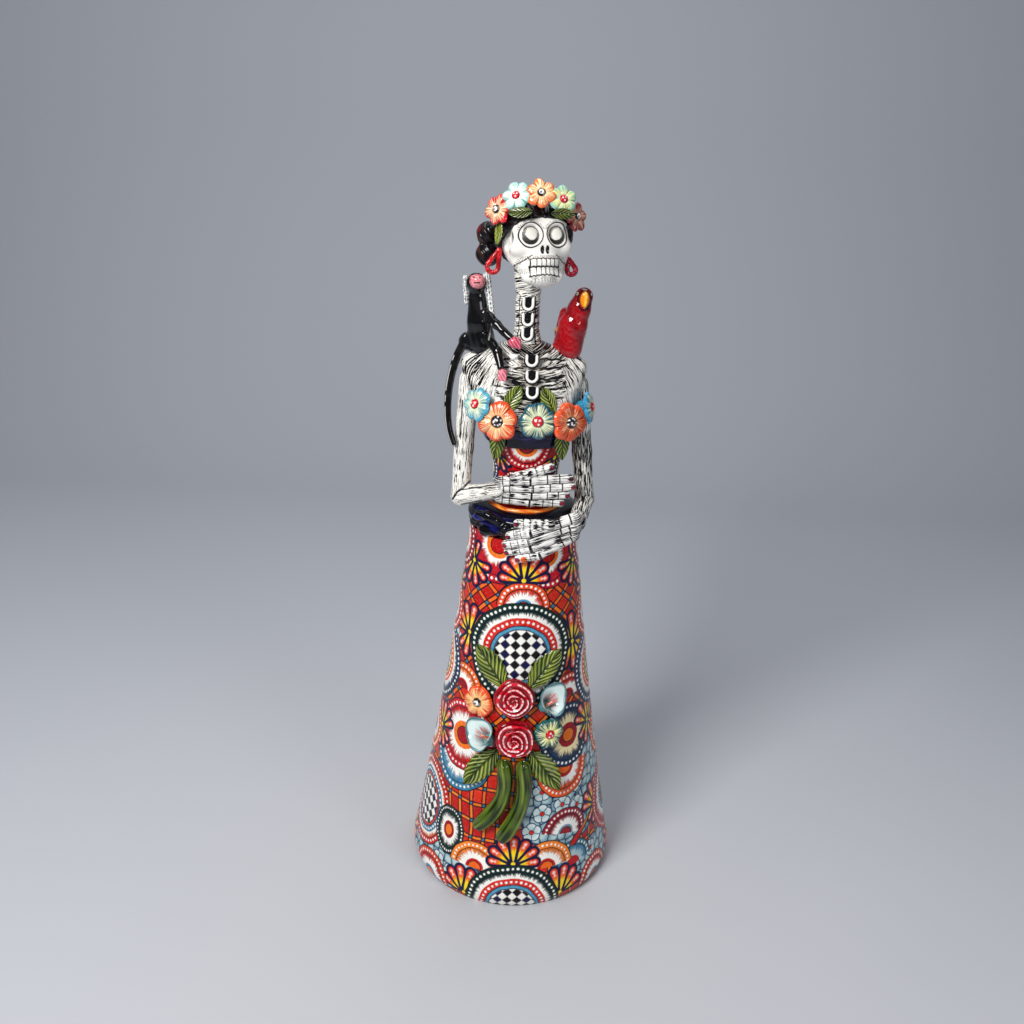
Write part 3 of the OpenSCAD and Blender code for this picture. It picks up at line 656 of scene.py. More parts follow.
        # lower band
        cv.medallion(P(-69), 98, 62, [(62, 53, "dots", RED, lin(214, 60, 40)), (53, 46, "feather", ORANGE, WHITE), (46, 37, "dots", lin(58, 126, 160), DBLUE),
                                      (37, 33, "flat", RED, ORANGE), (33, 0, "checker", CHK, None)], seed=6, sx=0.92)
        cv.medallion(P(-41), 88, 34, [(34, 27, "dots", DGREEN, lin(20, 70, 60)), (27, 13, "feather", DGREEN, WHITE), (13, 8, "flat", CRIM, RED), (8, 0, "flat", ORANGE, AMBER)], seed=9, sx=0.72, dot=1.3)
        cv.fan(P(66.7), 108, 36, way=0, n=6, spread=150, seed=14)
        cv.fan(P(66.7), 108, 30, way=180, n=4, spread=100, seed=15)
        cv.scallop(P(35.8), 96, 35, "up", ca=lin(150, 22, 40), core=lin(150, 30, 40), arch=lin(120, 150, 165), seed=10, turn=-0.25, rim=lin(150, 30, 48))
        cv.medallion(P(40), 47, 34, [(34, 26, "dots", lin(58, 120, 140), DBLUE), (26, 12, "feather", BLUE, PALE), (12, 0, "flat", RED, CRIM)], cut="up", seed=11)
        cv.drop(P(58.8), 102, P(39), 74, 5.5)
        cv.scallop(P(-20.5), 52, 36, "up", ca=lin(242, 128, 44), core=ORANGE, arch=RED, seed=12, rim=lin(242, 132, 40))
        cv.scallop(P(22), 56, 37, "up", ca=lin(242, 128, 44), core=ORANGE, arch=RED, seed=13, rim=lin(242, 132, 40))
        cv.fan(P(-25.5), 10, 40, n=6, spread=140, seed=16)
        cv.fan(P(30), 14, 40, n=6, spread=140, seed=17)
        cv.scallop(P(-52), 6, 36, "up", ca=RED, core=ORANGE, arch=BLUE, seed=14)
        cv.scallop(P(58), 6, 34, "up", ca=lin(200, 40, 36), core=ORANGE, arch=BLUE, seed=15)
        cv.fan(P(2.3), 66, 38, n=7, spread=176, seed=18)
        cv.medallion(P(2.3), 0, 64, [(64, 55, "dots", DGREEN, lin(12, 44, 46)), (55, 46, "feather", DGREEN, WHITE), (46, 36, "dots", lin(214, 44, 34), RED),
                                     (36, 31, "flat", BLUE, lin(110, 176, 200)), (31, 0, "checker", CHK, None)], seed=2)
    # the flanks
    for c, s_ in ((90, 1), (-90, -1)):
        cv.medallion(c, 300, 56, [(56, 47, "dots", lin(28, 54, 92), NAVY), (47, 37, "feather", DBLUE, WHITE), (37, 27, "dots", lin(226, 90, 36), ORANGE),
                                  (27, 23, "flat", YELLOW, AMBER), (23, 0, "checker", 9.5, None)], seed=20)
        cv.scallop(c, 376, 34, None, ca=lin(224, 60, 30), core=RED, seed=21)
        cv.fan(c, 20, 40, n=7, spread=160, seed=22)
        cv.fan(c, 412, 32, n=7, spread=170, seed=23)
        if s_ > 0:
            cv.medallion(c, 96, 56, [(56, 46, "dots", RED, CRIM), (46, 30, "feather", RED, WHITE), (30, 22, "dots", lin(58, 126, 160), DBLUE), (22, 0, "flat", ORANGE, AMBER)], seed=24, dot=1.3)
            cv.fan(c, 96, 20, n=8, full=True, seed=26)
        cv.scallop(c + 2, 196, 36, None, ca=lin(238, 120, 40), core=RED, arch=BLUE, seed=25, rim=ORANGE)


def skirt_radius(z):
    u = z / 495.0
    r = 140 * (1 - u) + 65.2 * u - 17.9 * u * (1 - u)
    return r - np.where(z < 22.9, 8.2 * (1 - z / 22.9) ** 2, 0)


def cloth_wobble(az, z):
    return 0.35 * np.sin(az * 3 + z * 0.012) + 0.22 * np.sin(az * 5 - z * 0.02 + 1)


def revolve_painted(name, rows, mat, body, node, painter, base, sy=1.0, cx=0.0, cy=0.0, step=0.75, wob=1.0, inner=None):
    """rows: (r, z) outer profile from the bottom up, painted and embossed; inner: (r, z) rows for the unpainted back of the wall."""
    rows = np.array(rows, float)
    n = int(2 * pi * rows[:, 0].max() / step)
    az = np.linspace(-pi, pi, n, endpoint=False)
    A, Rr = np.meshgrid(az, rows[:, 0], indexing="ij")
    _, Z = np.meshgrid(az, rows[:, 1], indexing="ij")
    m = len(rows)
    A, Rr, Z = A.ravel(), Rr.ravel(), Z.ravel()
    cv = Canvas(A, Z, Rr, base)
    painter(cv)
    H = cv.H.reshape(n, m)
    H = (np.roll(H, 1, 0) + 2 * H + np.roll(H, -1, 0)) / 4
    H = np.clip(H, 0, 0.8).ravel()
    R2 = Rr + H + cloth_wobble(A, Z) * wob
    V = np.stack([R2 * np.sin(A) + cx, -R2 * np.cos(A) * sy + cy, Z], 1)
    F = grid_faces(n, m, wrap_u=True, flip=False)
    C = cv.C
    if inner is not None:
        inner = np.array(inner, float)
        k = len(inner)
        q = 6
        n2 = n // q
        az2 = az[::q][:n2] if len(az[::q]) >= n2 else az[::q]
        n2 = len(az2)
        A2, R3 = np.meshgrid(az2, inner[:, 0], indexing="ij"); _, Z3 = np.meshgrid(az2, inner[:, 1], indexing="ij")
        V2 = np.stack([R3 * np.sin(A2) + cx, -R3 * np.cos(A2) * sy + cy, Z3], -1).reshape(-1, 3)
        F2 = grid_faces(n2, k, wrap_u=True, flip=True, off=len(V))
        C2 = np.tile(lin(196, 120, 84), (len(V2), 1))
        V = np.concatenate([V, V2]); F = np.concatenate([F, F2]); C = np.concatenate([C, C2])
    return mesh_obj(name, V, F, mat, body, (node,) if node else (), paint=C)


m_paint = glaze("skirt_glaze", rough=0.16, coat=0.10, vary=0.07, spec=0.16)
m_clay = glaze("raw_clay", base=lin(178, 104, 70), rough=0.75, coat=0.0, bump=0.5)

STEP = 0.78
zz = np.arange(0, 494.01, STEP)
rows = [(skirt_radius(z), z) for z in zz]
rows = [(128.2, 0.35), (130.4, 0.05)] + rows
inner_z = np.linspace(494, 0.2, 60)
inn = [(62, 494.0), (48, 494.0), (34, 493.9), (31.5, 493.0), (31.5, 488), (38, 486.5), (55.5, 486.2)]
inn += [(max(skirt_radius(z) - 8.2, 20), z) for z in np.linspace(484, 0.4, 50)] + [(124.5, 0.15), (128.2, 0.35)]
revolve_painted("skirt_painted", rows, m_paint, "figure", "skirt_shell", paint_skirt, RED, step=STEP, inner=inn, wob=0.6)


# ------------------------------------------------------------------ bodice, sash, neckline
def paint_bodice(cv):
    deg = np.degrees((cv.az + pi) % (2 * pi) - pi)
    cv.C[:] = RED
    cv.plaid((np.abs(deg) > 70) & (np.abs(deg) < 140), 14, 14, turn=pi / 4, seed=4)
    for c in (0, 180):
        cv.medallion(c + 22, 560, 17, [(17, 12, "dots", ORANGE, AMBER), (12, 4, "feather", RED, WHITE), (4, 0, "flat", ORANGE, AMBER)], seed=3, dot=1.1)
        cv.medallion(c - 20, 556, 16, [(16, 11, "dots", CRIM, RED), (11, 4, "feather", RED, WHITE), (4, 0, "flat", ORANGE, AMBER)], seed=5, dot=1.1)
        cv.fan(c - 48, 590, 22, way=200, n=5, spread=150, seed=2)
        cv.fan(c + 50, 588, 22, way=170, n=5, spread=150, seed=3)
        cv.medallion(c, 606, 31, [(31, 22, "dots", lin(196, 22, 32), CRIM), (22, 14, "feather", lin(200, 26, 34), WHITE), (14, 8.5, "flat", ORANGE, AMBER), (8.5, 0, "flat", CRIM, DRED)], seed=1, dot=1.3)
    for c in (90, -90):
        cv.medallion(c, 570, 24, [(24, 17, "dots", lin(28, 54, 92), NAVY), (17, 8, "feather", DBLUE, CREAM), (8, 0, "flat", RED, ORANGE)], seed=9, dot=1.2)


bz = np.arange(523.6, 604.6, STEP)
bx = np.interp(bz, [524, 545, 573, 592, 604], [38, 38.5, 40.5, 44, 47.5])
revolve_painted("bodice_painted", [(24.2, 500), (37.5, 522.8)] + list(zip(bx, bz)) + [(44, 605)], m_paint, "figure", "bodice_shell",
                paint_bodice, RED, sy=0.87, cy=-2, step=STEP, wob=0.4, inner=[(37, 606), (34, 575), (30, 545), (24.2, 524), (24.2, 500)])

m_navy = glaze("navy_glaze_look", rough=0.08, coat=0.22, vary=0.3, spec=0.2)
m_orange = glaze("orange_glaze_look", rough=0.15, vary=0.25)
m_bone = glaze("bone_glaze_look", hatch=True, rough=0.18, coat=0.2, vary=0.05, spec=0.25)
m_gloss = glaze("color_glaze_look", rough=0.10, coat=0.38, vary=0.10, spec=0.3)
m_black = glaze("black_glaze_look", rough=0.07, coat=0.45, vary=0.4, spec=0.28)


def ring_of(name, prof, mat, node, n=240, sy=1.0, cx=0.0, cy=0.0, fn=None, color=None, body="figure", crease=None):
    """Closed ring from a closed profile of (r, z), with fn(az, r, z) giving extra radius and lift."""
    prof = np.array(prof, float)
    # resample the profile finely with soft corners
    P = np.concatenate([prof, prof[:1]])
    s = np.concatenate([[0], np.cumsum(np.hypot(*np.diff(P, axis=0).T))])
    q = np.linspace(0, s[-1], max(24, int(s[-1] / 1.2)), endpoint=False)
    P = np.stack([np.interp(q, s, P[:, 0]), np.interp(q, s, P[:, 1])], 1)
    for _ in range(2):
        P = (np.roll(P, 1, 0) + 2 * P + np.roll(P, -1, 0)) / 4
    az = np.linspace(0, 2 * pi, n, endpoint=False)
    A, I = np.meshgrid(az, np.arange(len(P)), indexing="ij")
    Rr, Z = P[I, 0], P[I, 1]
    dr, dz = fn(A, Rr, Z) if fn else (0, 0)
    Rr2, Z2 = Rr + dr, Z + dz
    V = np.stack([Rr2 * np.sin(A) + cx, -Rr2 * np.cos(A) * sy + cy, Z2], -1).reshape(-1, 3)
    C = color(A.ravel(), Rr.ravel(), Z.ravel())
    area = np.sum(P[:, 0] * np.roll(P[:, 1], -1) - np.roll(P[:, 0], -1) * P[:, 1])
    F = grid_faces(n, len(P), wrap_u=True, wrap_v=True, flip=area < 0)
    return mesh_obj(name, V, F, mat, body, (node,) if node else (), paint=C)


def sash_fn(A, R, Z):
    out = np.clip((R - 48) / 20, 0, 1)
    folds = np.sin(Z * 0.62 + 1.6 * np.sin(A * 1.0 + 0.6) + 0.5 * np.sin(A * 3)) * 0.7
    return (folds * out + 0.5 * np.sin(A * 4 + 1) * out - 0.3 * out), 0.5 * np.sin(A * 2 + 0.5) * out * (Z > 500)


def sash_col(A, R, Z):
    t = 0.5 + 0.5 * np.sin(Z * 0.62 + 1.6 * np.sin(A + 0.6) + 0.5 * np.sin(A * 3))
    # near black in the folds, navy on the fold crests: painted shade and painted sheen following the folds
    c = mixc(lin(12, 12, 22), lin(22, 24, 96), ss(0.55, 1, t) * (0.5 + 0.5 * np.sin(A * 3 + 4)) * 0.8)
    return c


ring_of("sash", [(31.2, 494), (61, 494), (65.5, 497.5), (68.3, 502), (69, 508), (68.3, 513), (65.6, 517.5), (61, 521), (54, 523.4), (48, 524), (31.2, 524)],
        m_navy, "waist_sash", fn=sash_fn, color=sash_col, n=320)


def bow():
    """Knot and loops of the sash, of the same navy and black glaze, on the figure's right of the waist."""
    def at(azd, r, z): return np.array([r * math.sin(math.radians(azd)), -r * math.cos(math.radians(azd)), z])
    loop_a = [at(a, 67.5, z) for a, z in ((-17, 511), (-27, 518), (-40, 520.5), (-52, 516), (-60, 506))]
    loop_b = [at(a, 67.5, z) for a, z in ((-17, 508), (-30, 503.5), (-44, 500))]
    loop_c = [at(a, 67.5, z) for a, z in ((-16, 510), (-4, 513))]

    def f(P):
        d = ell(P, at(-17, 69.5, 510), (6.5, 6.0, 8.0))
        d = smin(d, chain_sdf(P, loop_a, 4.8, 6.8, 2), 1.6)
        d = smin(d, chain_sdf(P, loop_b, 4.6, 6.4, 2), 1.6)
        d = smin(d, chain_sdf(P, loop_c, 4.4, 5.2, 0), 1.6)
        az = np.arctan2(P[:, 0], -P[:, 1])
        return d + 0.35 * np.sin(P[:, 2] * 1.05 + az * 9) * np.sin(az * 7 + 1)
    V, F = surface_nets(f, (-70, -82, 488), (8, -20, 532), 0.7, project=1)
    az = np.degrees(np.arctan2(V[:, 0], -V[:, 1]))
    C = mixc(lin(9, 9, 16), lin(24, 24, 104), ss(0.35, 0.95, np.sin(V[:, 2] * 0.28 + az * 0.09)) * ss(-20, -34, az) * 0.9)
    mesh_obj("sash_bow", V, F, m_navy, "figure", (), paint=C)


bow()
ring_of("sash_trim", [(44.5 + 3.1 * math.cos(t), 524.6 + 3.0 * math.sin(t)) for t in np.linspace(0, 2 * pi, 20, endpoint=False)], m_orange,
        "waist_trim", n=200, fn=lambda A, R, Z: (0.3 * np.sin(A * 9), 0.3 * np.sin(A * 7 + 1)),
        color=lambda A, R, Z: mixc(lin(240, 104, 30), lin(252, 160, 60), 0.5 + 0.5 * np.sin(A * 13 + Z)))


def band_col(A, R, Z):
    c = mixc(lin(20, 20, 52), lin(12, 12, 28), 0.5 + 0.5 * np.sin(A * 5 + Z * 0.2))
    n = 58
    for zc, off in ((622.5, 0.0),):
        j = np.round(A / (2 * pi) * n + off)
        d = np.hypot((A - (j - off) * 2 * pi / n) * R, Z - zc)
        c = mixc(c, lin(64, 70, 128), (1 - ss(1.0, 1.5, d)) * (R > 40) * 0.6)
    d = np.abs(Z - 618 - 0.4 * np.sin(A * 20))
    return mixc(c, lin(60, 70, 150), (1 - ss(0.3, 0.8, d)) * 0.5)


ring_of("neckline", [(40, 604), (49.5, 604), (53.5, 612), (57, 628), (47, 628), (44, 612)], m_navy, "neckline_band", sy=0.84, cx=-1, cy=-6,
        color=band_col, n=360, fn=lambda A, R, Z: (0.25 * np.sin(A * 6) + 0.2 * np.sin(Z * 0.8), 0))


# ------------------------------------------------------------------ torso
SPH = [((-30, -29, 647), 25), ((24, -29, 647), 25), ((-66.5, 2, 690), 15.5), ((51.5, 2, 690), 15.5), ((-34, 14, 660), 22), ((26, 14, 660), 22)]
SPH += [((-1 + 55 * math.cos(a), -6 + 46 * math.sin(a), 628.5), 2.0) for a in np.linspace(0, 2 * pi, 32, endpoint=False)]
SPH += [((-6 + 19 * math.cos(a), -6 + 19 * math.sin(a), 720), 2.0) for a in np.linspace(0, 2 * pi, 16, endpoint=False)]
TC = np.array([-4.0, -8.0, 662.0])


def torso():
    g = (1 + 5 ** 0.5) / 2
    i = np.arange(3000)
    nz = 1 - 2 * (i + 0.5) / len(i); ph = 2 * pi * i / g
    Nn = np.stack([np.sqrt(1 - nz * nz) * np.cos(ph), np.sqrt(1 - nz * nz) * np.sin(ph), nz], 1)
    h = np.max([Nn @ (np.array(c) - TC) + r for c, r in SPH], axis=0)
    nu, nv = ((360, 200))
    az = np.linspace(-pi, pi, nu, endpoint=False)
    el = np.linspace(-0.33 * pi, 0.5 * pi * 0.985, nv)
    A, E = np.meshgrid(az, el, indexing="ij")
    d = np.stack([np.cos(E) * np.sin(A), -np.cos(E) * np.cos(A), np.sin(E)], -1).reshape(-1, 3)
    rho = np.full(len(d), 1e9)
    for k in range(0, len(d), 6000):
        q = d[k:k + 6000] @ Nn.T
        rho[k:k + 6000] = np.min(np.where(q > 0.02, h[None, :] / np.maximum(q, 0.02), 1e9), axis=1)
    rho = rho.reshape(nu, nv)
    for _ in range(6):
        p = np.pad(rho, ((1, 1), (0, 0)), mode="wrap"); p = np.pad(p, ((0, 0), (1, 1)), mode="edge")
        rho = (p[:-2, 1:-1] + p[2:, 1:-1] + p[1:-1, :-2] + p[1:-1, 2:] + 4 * rho) / 8
    V = TC + d * rho.reshape(-1, 1)
    V[:, 2] = np.maximum(V[:, 2], 627.6)
    x, y, z = V.T
    # collarbones, rib swells and the groove of the breastbone, modelled and painted
    rel = np.zeros(len(V))
    front = ss(0.15, -0.35, y / 40 + 0.1)
    side = np.where(x > 2, 1, -1)
    xs = np.abs(x - 1.5)
    for k, zc in enumerate((708, 698, 687.5, 677, 667)):
        curve = zc + 0.0035 * (xs - 10) ** 2 * (1 if k else -0.6) - 0.08 * xs
        rel += 0.9 * np.exp(-((z - curve - 4.5) / 3.4) ** 2) * front * ss(6, 14, xs) * (1 - ss(44, 58, xs))
    V = V + d * rel[:, None]
    C = np.tile(BONE, (len(V), 1)) * (0.94 + 0.06 * hash1(np.floor(z / 3)))[:, None]
    for k, zc in enumerate((708, 698, 687.5, 677, 667)):
        curve = zc + 0.0035 * (xs - 10) ** 2 * (1 if k else -0.6) - 0.08 * xs + 0.5 * np.sin(xs * 0.5 + k)
        wdt = 0.95 * (1 - 0.5 * ss(20, 45, xs))
        w = (1 - ss(wdt, wdt + 0.7, np.abs(z - curve))) * front * ss(8, 10, xs) * (1 - ss(36 + 4 * (k % 2), 42 + 4 * (k % 2), xs))
        C = mixc(C, BLACK, w)
    # greyish brown down the middle of the chest front, in the groove between the rib swells: painted shade
    C = mixc(C, lin(150, 132, 112), 0.35 * (1 - ss(6, 22, xs)) * front)
    # brush strokes: level ones beside the spine, slanting ones above, upright ones over the shoulders, arms and back
    shoulder = ss(34, 40, xs + 3 * np.sin(z * 0.4)) > 0.5
    arc = np.arctan2(x + 4, -(y + 8)) * 52
    tilt = np.where(z > 700, 0.55, 0.12) * side
    f = np.stack([np.where(shoulder | (y > 12), arc, (z - x * tilt)), np.where(shoulder | (y > 12), z, x + z * 0.3),
                  np.where(shoulder, 0.72, np.where(xs < 22, 0.82, 0.72)) * np.where(y > 12, 0.80, 1)], 1)
    F = grid_faces(nu, nv, wrap_u=True, flip=False)
    # inner wall
    W = TC + d * (rho.reshape(-1, 1) - 8)
    W[:, 2] = np.maximum(W[:, 2], 627.6)
    V2 = W.reshape(nu, nv, 3)[::4, ::4].reshape(-1, 3)
    n2, m2 = len(range(0, nu, 4)), len(range(0, nv, 4))
    F2 = grid_faces(n2, m2, wrap_u=True, flip=True, off=len(V))
    cap = len(V) + len(V2)
    Va = np.concatenate([V, V2]); Fa = np.concatenate([F, F2])
    Ca = np.concatenate([C, np.tile(lin(188, 112, 80), (len(V2), 1))]); fa = np.concatenate([f, np.zeros((len(V2), 3))])
    return mesh_obj("torso", Va, Fa, m_bone, "figure", ("torso_shell",), paint=Ca, flow=fa)


torso()


# ------------------------------------------------------------------ arms and hands
def arm(name, up, fore, r_up, r_fore, nodes, loop=None, dens=0.52):
    pts = [*up[:-1], *fore]
    h = 1.1
    up = [np.array(p, float) for p in up]; fore = [np.array(p, float) for p in fore]

    def f(P):
        a = chain_sdf(P, up, r_up[0], r_up[1], 3)
        b = chain_sdf(P, fore, r_fore[0], r_fore[1])
        return smin(a, b, 4.0)
    allp = np.array(up + fore)
    V, F = surface_nets(f, allp.min(0) - 15, allp.max(0) + 15, h)
    s, ang, d = along_chain(V, up + fore[1:])
    total = s.max()
    C = np.tile(BONE, (len(V), 1))
    elbow = np.linalg.norm(up[-1] - up[0]) if len(up) == 2 else sum(np.linalg.norm(up[i + 1] - up[i]) for i in range(len(up) - 1))
    # long dark lines that mark the two bones, with a bracket at the elbow
    for a0, w in ((0.5, 0.55), (-2.0, 0.5), (2.6, 0.5)):
        dd = np.abs(((ang - a0 - 0.10 * np.sin(s * 0.03) + pi) % (2 * pi)) - pi) * 10
        C = mixc(C, BLACK, (1 - ss(w, w + 0.6, dd)) * ((s > elbow + 4) | (s < elbow - 26)) * (hash1(np.floor(s / 23), a0) > 0.25))
    if loop is not None:
        P0 = np.array(loop[0], float)
        for k in range(len(loop) - 1):
            a, b = np.array(loop[k], float), np.array(loop[k + 1], float)
            C = mixc(C, BLACK, 1 - ss(0.9, 1.5, np.abs(seg(V * [1, 0.0, 1], a * [1, 0, 1], b * [1, 0, 1], 0)) + 3 * (V[:, 1] > a[1] + 6)))
    patch = 0.5 + 0.5 * np.sin(s * 0.05 + 2 * np.sin(ang + 1))
    fl = np.stack([ang * 10.5, s, dens + 0.12 * patch], 1)
    return mesh_obj(name, V, F, m_bone, "figure", nodes, paint=C, flow=fl)


arm("right_arm", [(-71, 0, 672), (-76, -5, 590), (-78.5, -9, 528)], [(-78.5, -9, 528), (-31, -44.8, 551.5)], (12.3, 11.6), (12.0, 10.2), ("right_upper_arm", "right_forearm"),
    loop=[(-88, -18, 526), (-82, -20, 537), (-68, -24, 549), (-62, -24, 551)])
# the left arm gets denser black strokes than the right (0.74 against 0.52): painted shade on the arm turned away from
# the key light
arm("left_arm", [(57, 0, 672), (66.5, -4, 590), (73, -10, 529)], [(73, -10, 529), (62.5, -60, 519)], (12.3, 11.6), (11.4, 10.4), ("left_upper_arm", "left_forearm"), dens=0.74)


def hand(name, wrist, wr, knuckles, tips, thumb, rk, rf, nodes, mark=None):
    wrist = np.array(wrist, float); K = [np.array(k, float) for k in knuckles]; T = [np.array(t, float) for t in tips]
    zc = np.mean([k[2] for k in K])
    W = [wrist + np.array([0, 0, (k[2] - zc) * 0.78]) for k in K]
    th0, th1 = np.array(thumb[0], float), np.array(thumb[1], float)
    h = 0.62

    def finger(P, a, b, r1, r2, nb=2):
        ab = b - a; L = np.linalg.norm(ab)
        t = np.clip(((P - a) @ ab) / (L * L), 0, 1)
        r = r1 + (r2 - r1) * t
        for c in (0.0, 0.42, 0.74):
            r = r * (1 + 0.09 * np.exp(-((t - c) * L / 3.0) ** 2))
        r = r * (1 - 0.05 * np.sin(t * pi))
        q = P - a - t[:, None] * ab
        return np.linalg.norm(q * np.array([1, 1.08, 0.84]), axis=1) - r

    def f(P):
        d = sph(P, wrist, wr)
        for w, k in zip(W, K):
            d = smin(d, seg(P, w, k, rk[0], rk[1]), 2.4)
        for k, t in zip(K, T):
            d = smin(d, finger(P, k, t, rf[0], rf[1]), 1.3)
        return smin(d, finger(P, th0, th1, rf[0] * 1.02, rf[1]), 1.6)
    pts = np.array(W + K + T + [th0, th1])
    V, F = surface_nets(f, pts.min(0) - 11, pts.max(0) + 11, h)
    C = np.tile(lin(242, 240, 236), (len(V), 1))
    # which bone ray each point belongs to
    rays = [(w, k, t) for w, k, t in zip(W, K, T)] + [(th0, th0 * 0.5 + th1 * 0.5, th1)]
    D, S, U = [], [], []
    for w, k, t in rays:
        L1 = np.linalg.norm(k - w); L2 = np.linalg.norm(t - k)
        a = seg(V, w, k, 0); b = seg(V, k, t, 0)
        s1 = np.clip(((V - w) @ (k - w)) / L1, 0, L1); s2 = np.clip(((V - k) @ (t - k)) / L2, -2, L2 + 6)
        D.append(np.minimum(a, b)); S.append(np.where(b < a, 100 + s2 / L2 * 100, s1 / L1 * 100))
        dr = (t - k) / L2
        across = np.cross(dr, [0, -1, 0]); across /= np.linalg.norm(across)
        U.append((V - k) @ across)
    D, S, U = np.array(D), np.array(S), np.array(U)
    o = np.argsort(D, axis=0)
    i0, i1 = o[0], o[1]
    n = np.arange(len(V))
    d0, d1, s, u = D[i0, n], D[i1, n], S[i0, n], U[i0, n]
    facing = ss(6, 1, V[:, 1] - np.where(True, V[:, 1].min() + 10, 0))
    gap = (1 - ss(0.45, 1.15, d1 - d0)) * (i1 < 4) * (i0 < 4) * (s > 14)
    C = mixc(C, BLACK, gap)
    thumb_m = i0 == 4
    for c, w in ((12, 1.0), (34, 1.0), (100, 0.9), (143, 0.8), (174, 0.7)):
        LL = np.where(s > 100, 1.0, 1.0)
        wob = 1.6 * np.sin(i0 * 2.1 + c)
        dd = np.abs(s - c - wob) * np.where(c > 100, 0.42, 0.40)
        C = mixc(C, BLACK, (1 - ss(0.45, 1.0, dd)) * (~thumb_m))
    for c in (118, 160):
        dd = np.abs(s - c) * 0.42
        C = mixc(C, BLACK, (1 - ss(0.45, 1.0, dd)) * thumb_m)
    # short strokes at both sides of each joint
    tone = np.exp(-((((s - 100) % 40) - 20) / 9) ** 2)
    # nails
    for j, (w, k, t) in enumerate(rays):
        dr = (t - k) / np.linalg.norm(t - k)
        q = V - (t + dr * 1.2)
        l = q @ dr; yy = q[:, 1]
        zz_ = np.linalg.norm(q - l[:, None] * dr - np.outer(yy, [0, 1, 0]), axis=1)
        m = (np.abs(l) < 3.6) & (yy < -1.0) & (zz_ < 3.0) & (i0 == j)
        e = np.hypot(l / 3.4, zz_ / 2.7)
        C = mixc(C, BLACK, (1 - ss(1.0, 1.15, e)) * m)
        C = mixc(C, lin(176, 40, 70) if j % 2 else lin(140, 30, 60), (1 - ss(0.78, 0.9, e)) * m)
    if mark is not None:
        C = mixc(C, ORANGE, 1 - ss(3.6, 4.4, np.hypot(V[:, 0] - mark[0], V[:, 2] - mark[2]) + 6 * (V[:, 1] > mark[1])))
    f1 = np.stack([u * 1.0 + i0 * 17.0, s * 0.35, np.where(s < 100, 0.60, 0.50) + 0.25 * tone], 1)
    return mesh_obj(name, V, F, m_bone, "figure", nodes, paint=C, flow=f1)


hand("right_hand_piece", (-30, -45.5, 552), 8.9, [(6, -48, 566), (8, -48.5, 557), (8, -48.5, 548), (6, -48, 539.5)],
     [(52.5, -40.5, 568), (55.5, -40.5, 558), (49, -42.3, 547.5), (43, -43.2, 538)], ((-12, -49.5, 569.5), (29.5, -46.7, 583)), (6.6, 5.9), (5.5, 4.5), ("right_hand", "right_fingers"))
hand("left_hand_piece", (60, -66, 517), 9.2, [(8, -76.2, 512), (7, -76.7, 502), (9, -76, 492.5), (20, -75.5, 484)],
     [(-16.5, -73.2, 505), (-20.5, -72.8, 493.7), (-17.5, -71.7, 483.8), (-4.5, -73.6, 476.2)], ((30, -76, 522), (-7.5, -75, 522)), (7.0, 6.2), (5.7, 4.6), ("left_hand", "left_fingers"),
     mark=(2, -70, 477))


# ------------------------------------------------------------------ spine bones
def u_bone(fr, w, h, t, thick=3.6):
    """Raised U ring with rounded section: outline follows (x, y) in the local frame."""
    r = w / 2 - thick / 2
    path = [(-r, h - w / 2)] + [(-r, (h - w / 2) * (1 - k / 6)) for k in range(1, 6)] + [(-r * math.cos(a), -r * math.sin(a)) for a in np.linspace(0, pi, 22)] + \
           [(r, (h - w / 2) * k / 6) for k in range(1, 7)]
    path = np.array(path)
    P = np.concatenate([path, np.zeros((len(path), 1))], 1)
    T = np.gradient(P, axis=0); T /= np.linalg.norm(T, axis=1)[:, None]
    Nn = np.stack([-T[:, 1], T[:, 0], np.zeros(len(T))], 1)
    n = 16
    th = np.linspace(0, 2 * pi, n, endpoint=False)
    ends = np.ones(len(P)); ends[0] = ends[-1] = 0.25; ends[1] = ends[-2] = 0.8
    V = P[:, None] + (thick / 2 * ends)[:, None, None] * np.cos(th)[None, :, None] * Nn[:, None] + (t * 0.75 * ends)[:, None, None] * (np.sin(th))[None, :, None] * np.array([0, 0, 1])
    V = V.reshape(-1, 3); V[:, 2] += t * 0.45
    F = grid_faces(len(P), n, wrap_v=True, flip=False)
    inner = np.tile(np.cos(th), len(P))
    C = mixc(np.tile(lin(246, 244, 238), (len(V), 1)), BLACK, np.clip(ss(0.86, 0.97, np.abs(inner)), 0, 1))
    return place(V, fr), F, C, None


def dark_pit(fr, w, h, t):
    """Glazed black bed under a bone ring, standing just above the skin."""
    n, m = 10, 28
    th = np.linspace(0, 2 * pi, m, endpoint=False)
    Vv = [(0, (h - w / 2) * 0.35, t)]
    for k in range(1, n + 1):
        q = k / n
        for a in th:
            x = math.cos(a) * (w / 2) * q; y = math.sin(a) * (w / 2) * q
            if y > 0: y *= (h - w / 2) / (w / 2)
            Vv.append((x, y, t * (1 - q ** 3) - (1.2 if k == n else 0)))
    F = []
    for j in range(m): F.append([0, 1 + j, 1 + (j + 1) % m, 1 + (j + 1) % m])
    for k in range(1, n):
        for j in range(m):
            a, b = 1 + (k - 1) * m + j, 1 + (k - 1) * m + (j + 1) % m
            F.append([a, a + m, b + m, b])
    V = place(np.array(Vv), fr)
    return V, np.array(F), np.tile(lin(16, 14, 16), (len(V), 1)), None


def bones(name, frames, w, h, t, mat, nodes, body):
    parts = []
    for fr in frames:
        parts.append(dark_pit(fr, w * 1.20, h * 1.14, t * 0.25)); parts.append(u_bone(fr, w, h, t))
    V, F, C, _ = join(parts)
    return mesh_obj(name, V, tri_fix(F), mat, body, nodes, paint=C)


bones("breast_bones", [frame_at(p, (0, -0.94, 0.34)) for p in [(1.5, -38.6, 707), (2.5, -44.8, 690), (3.5, -50.6, 673)]], 15, 14.5, 2.9, m_gloss, ("chest_vertebrae",), "figure")


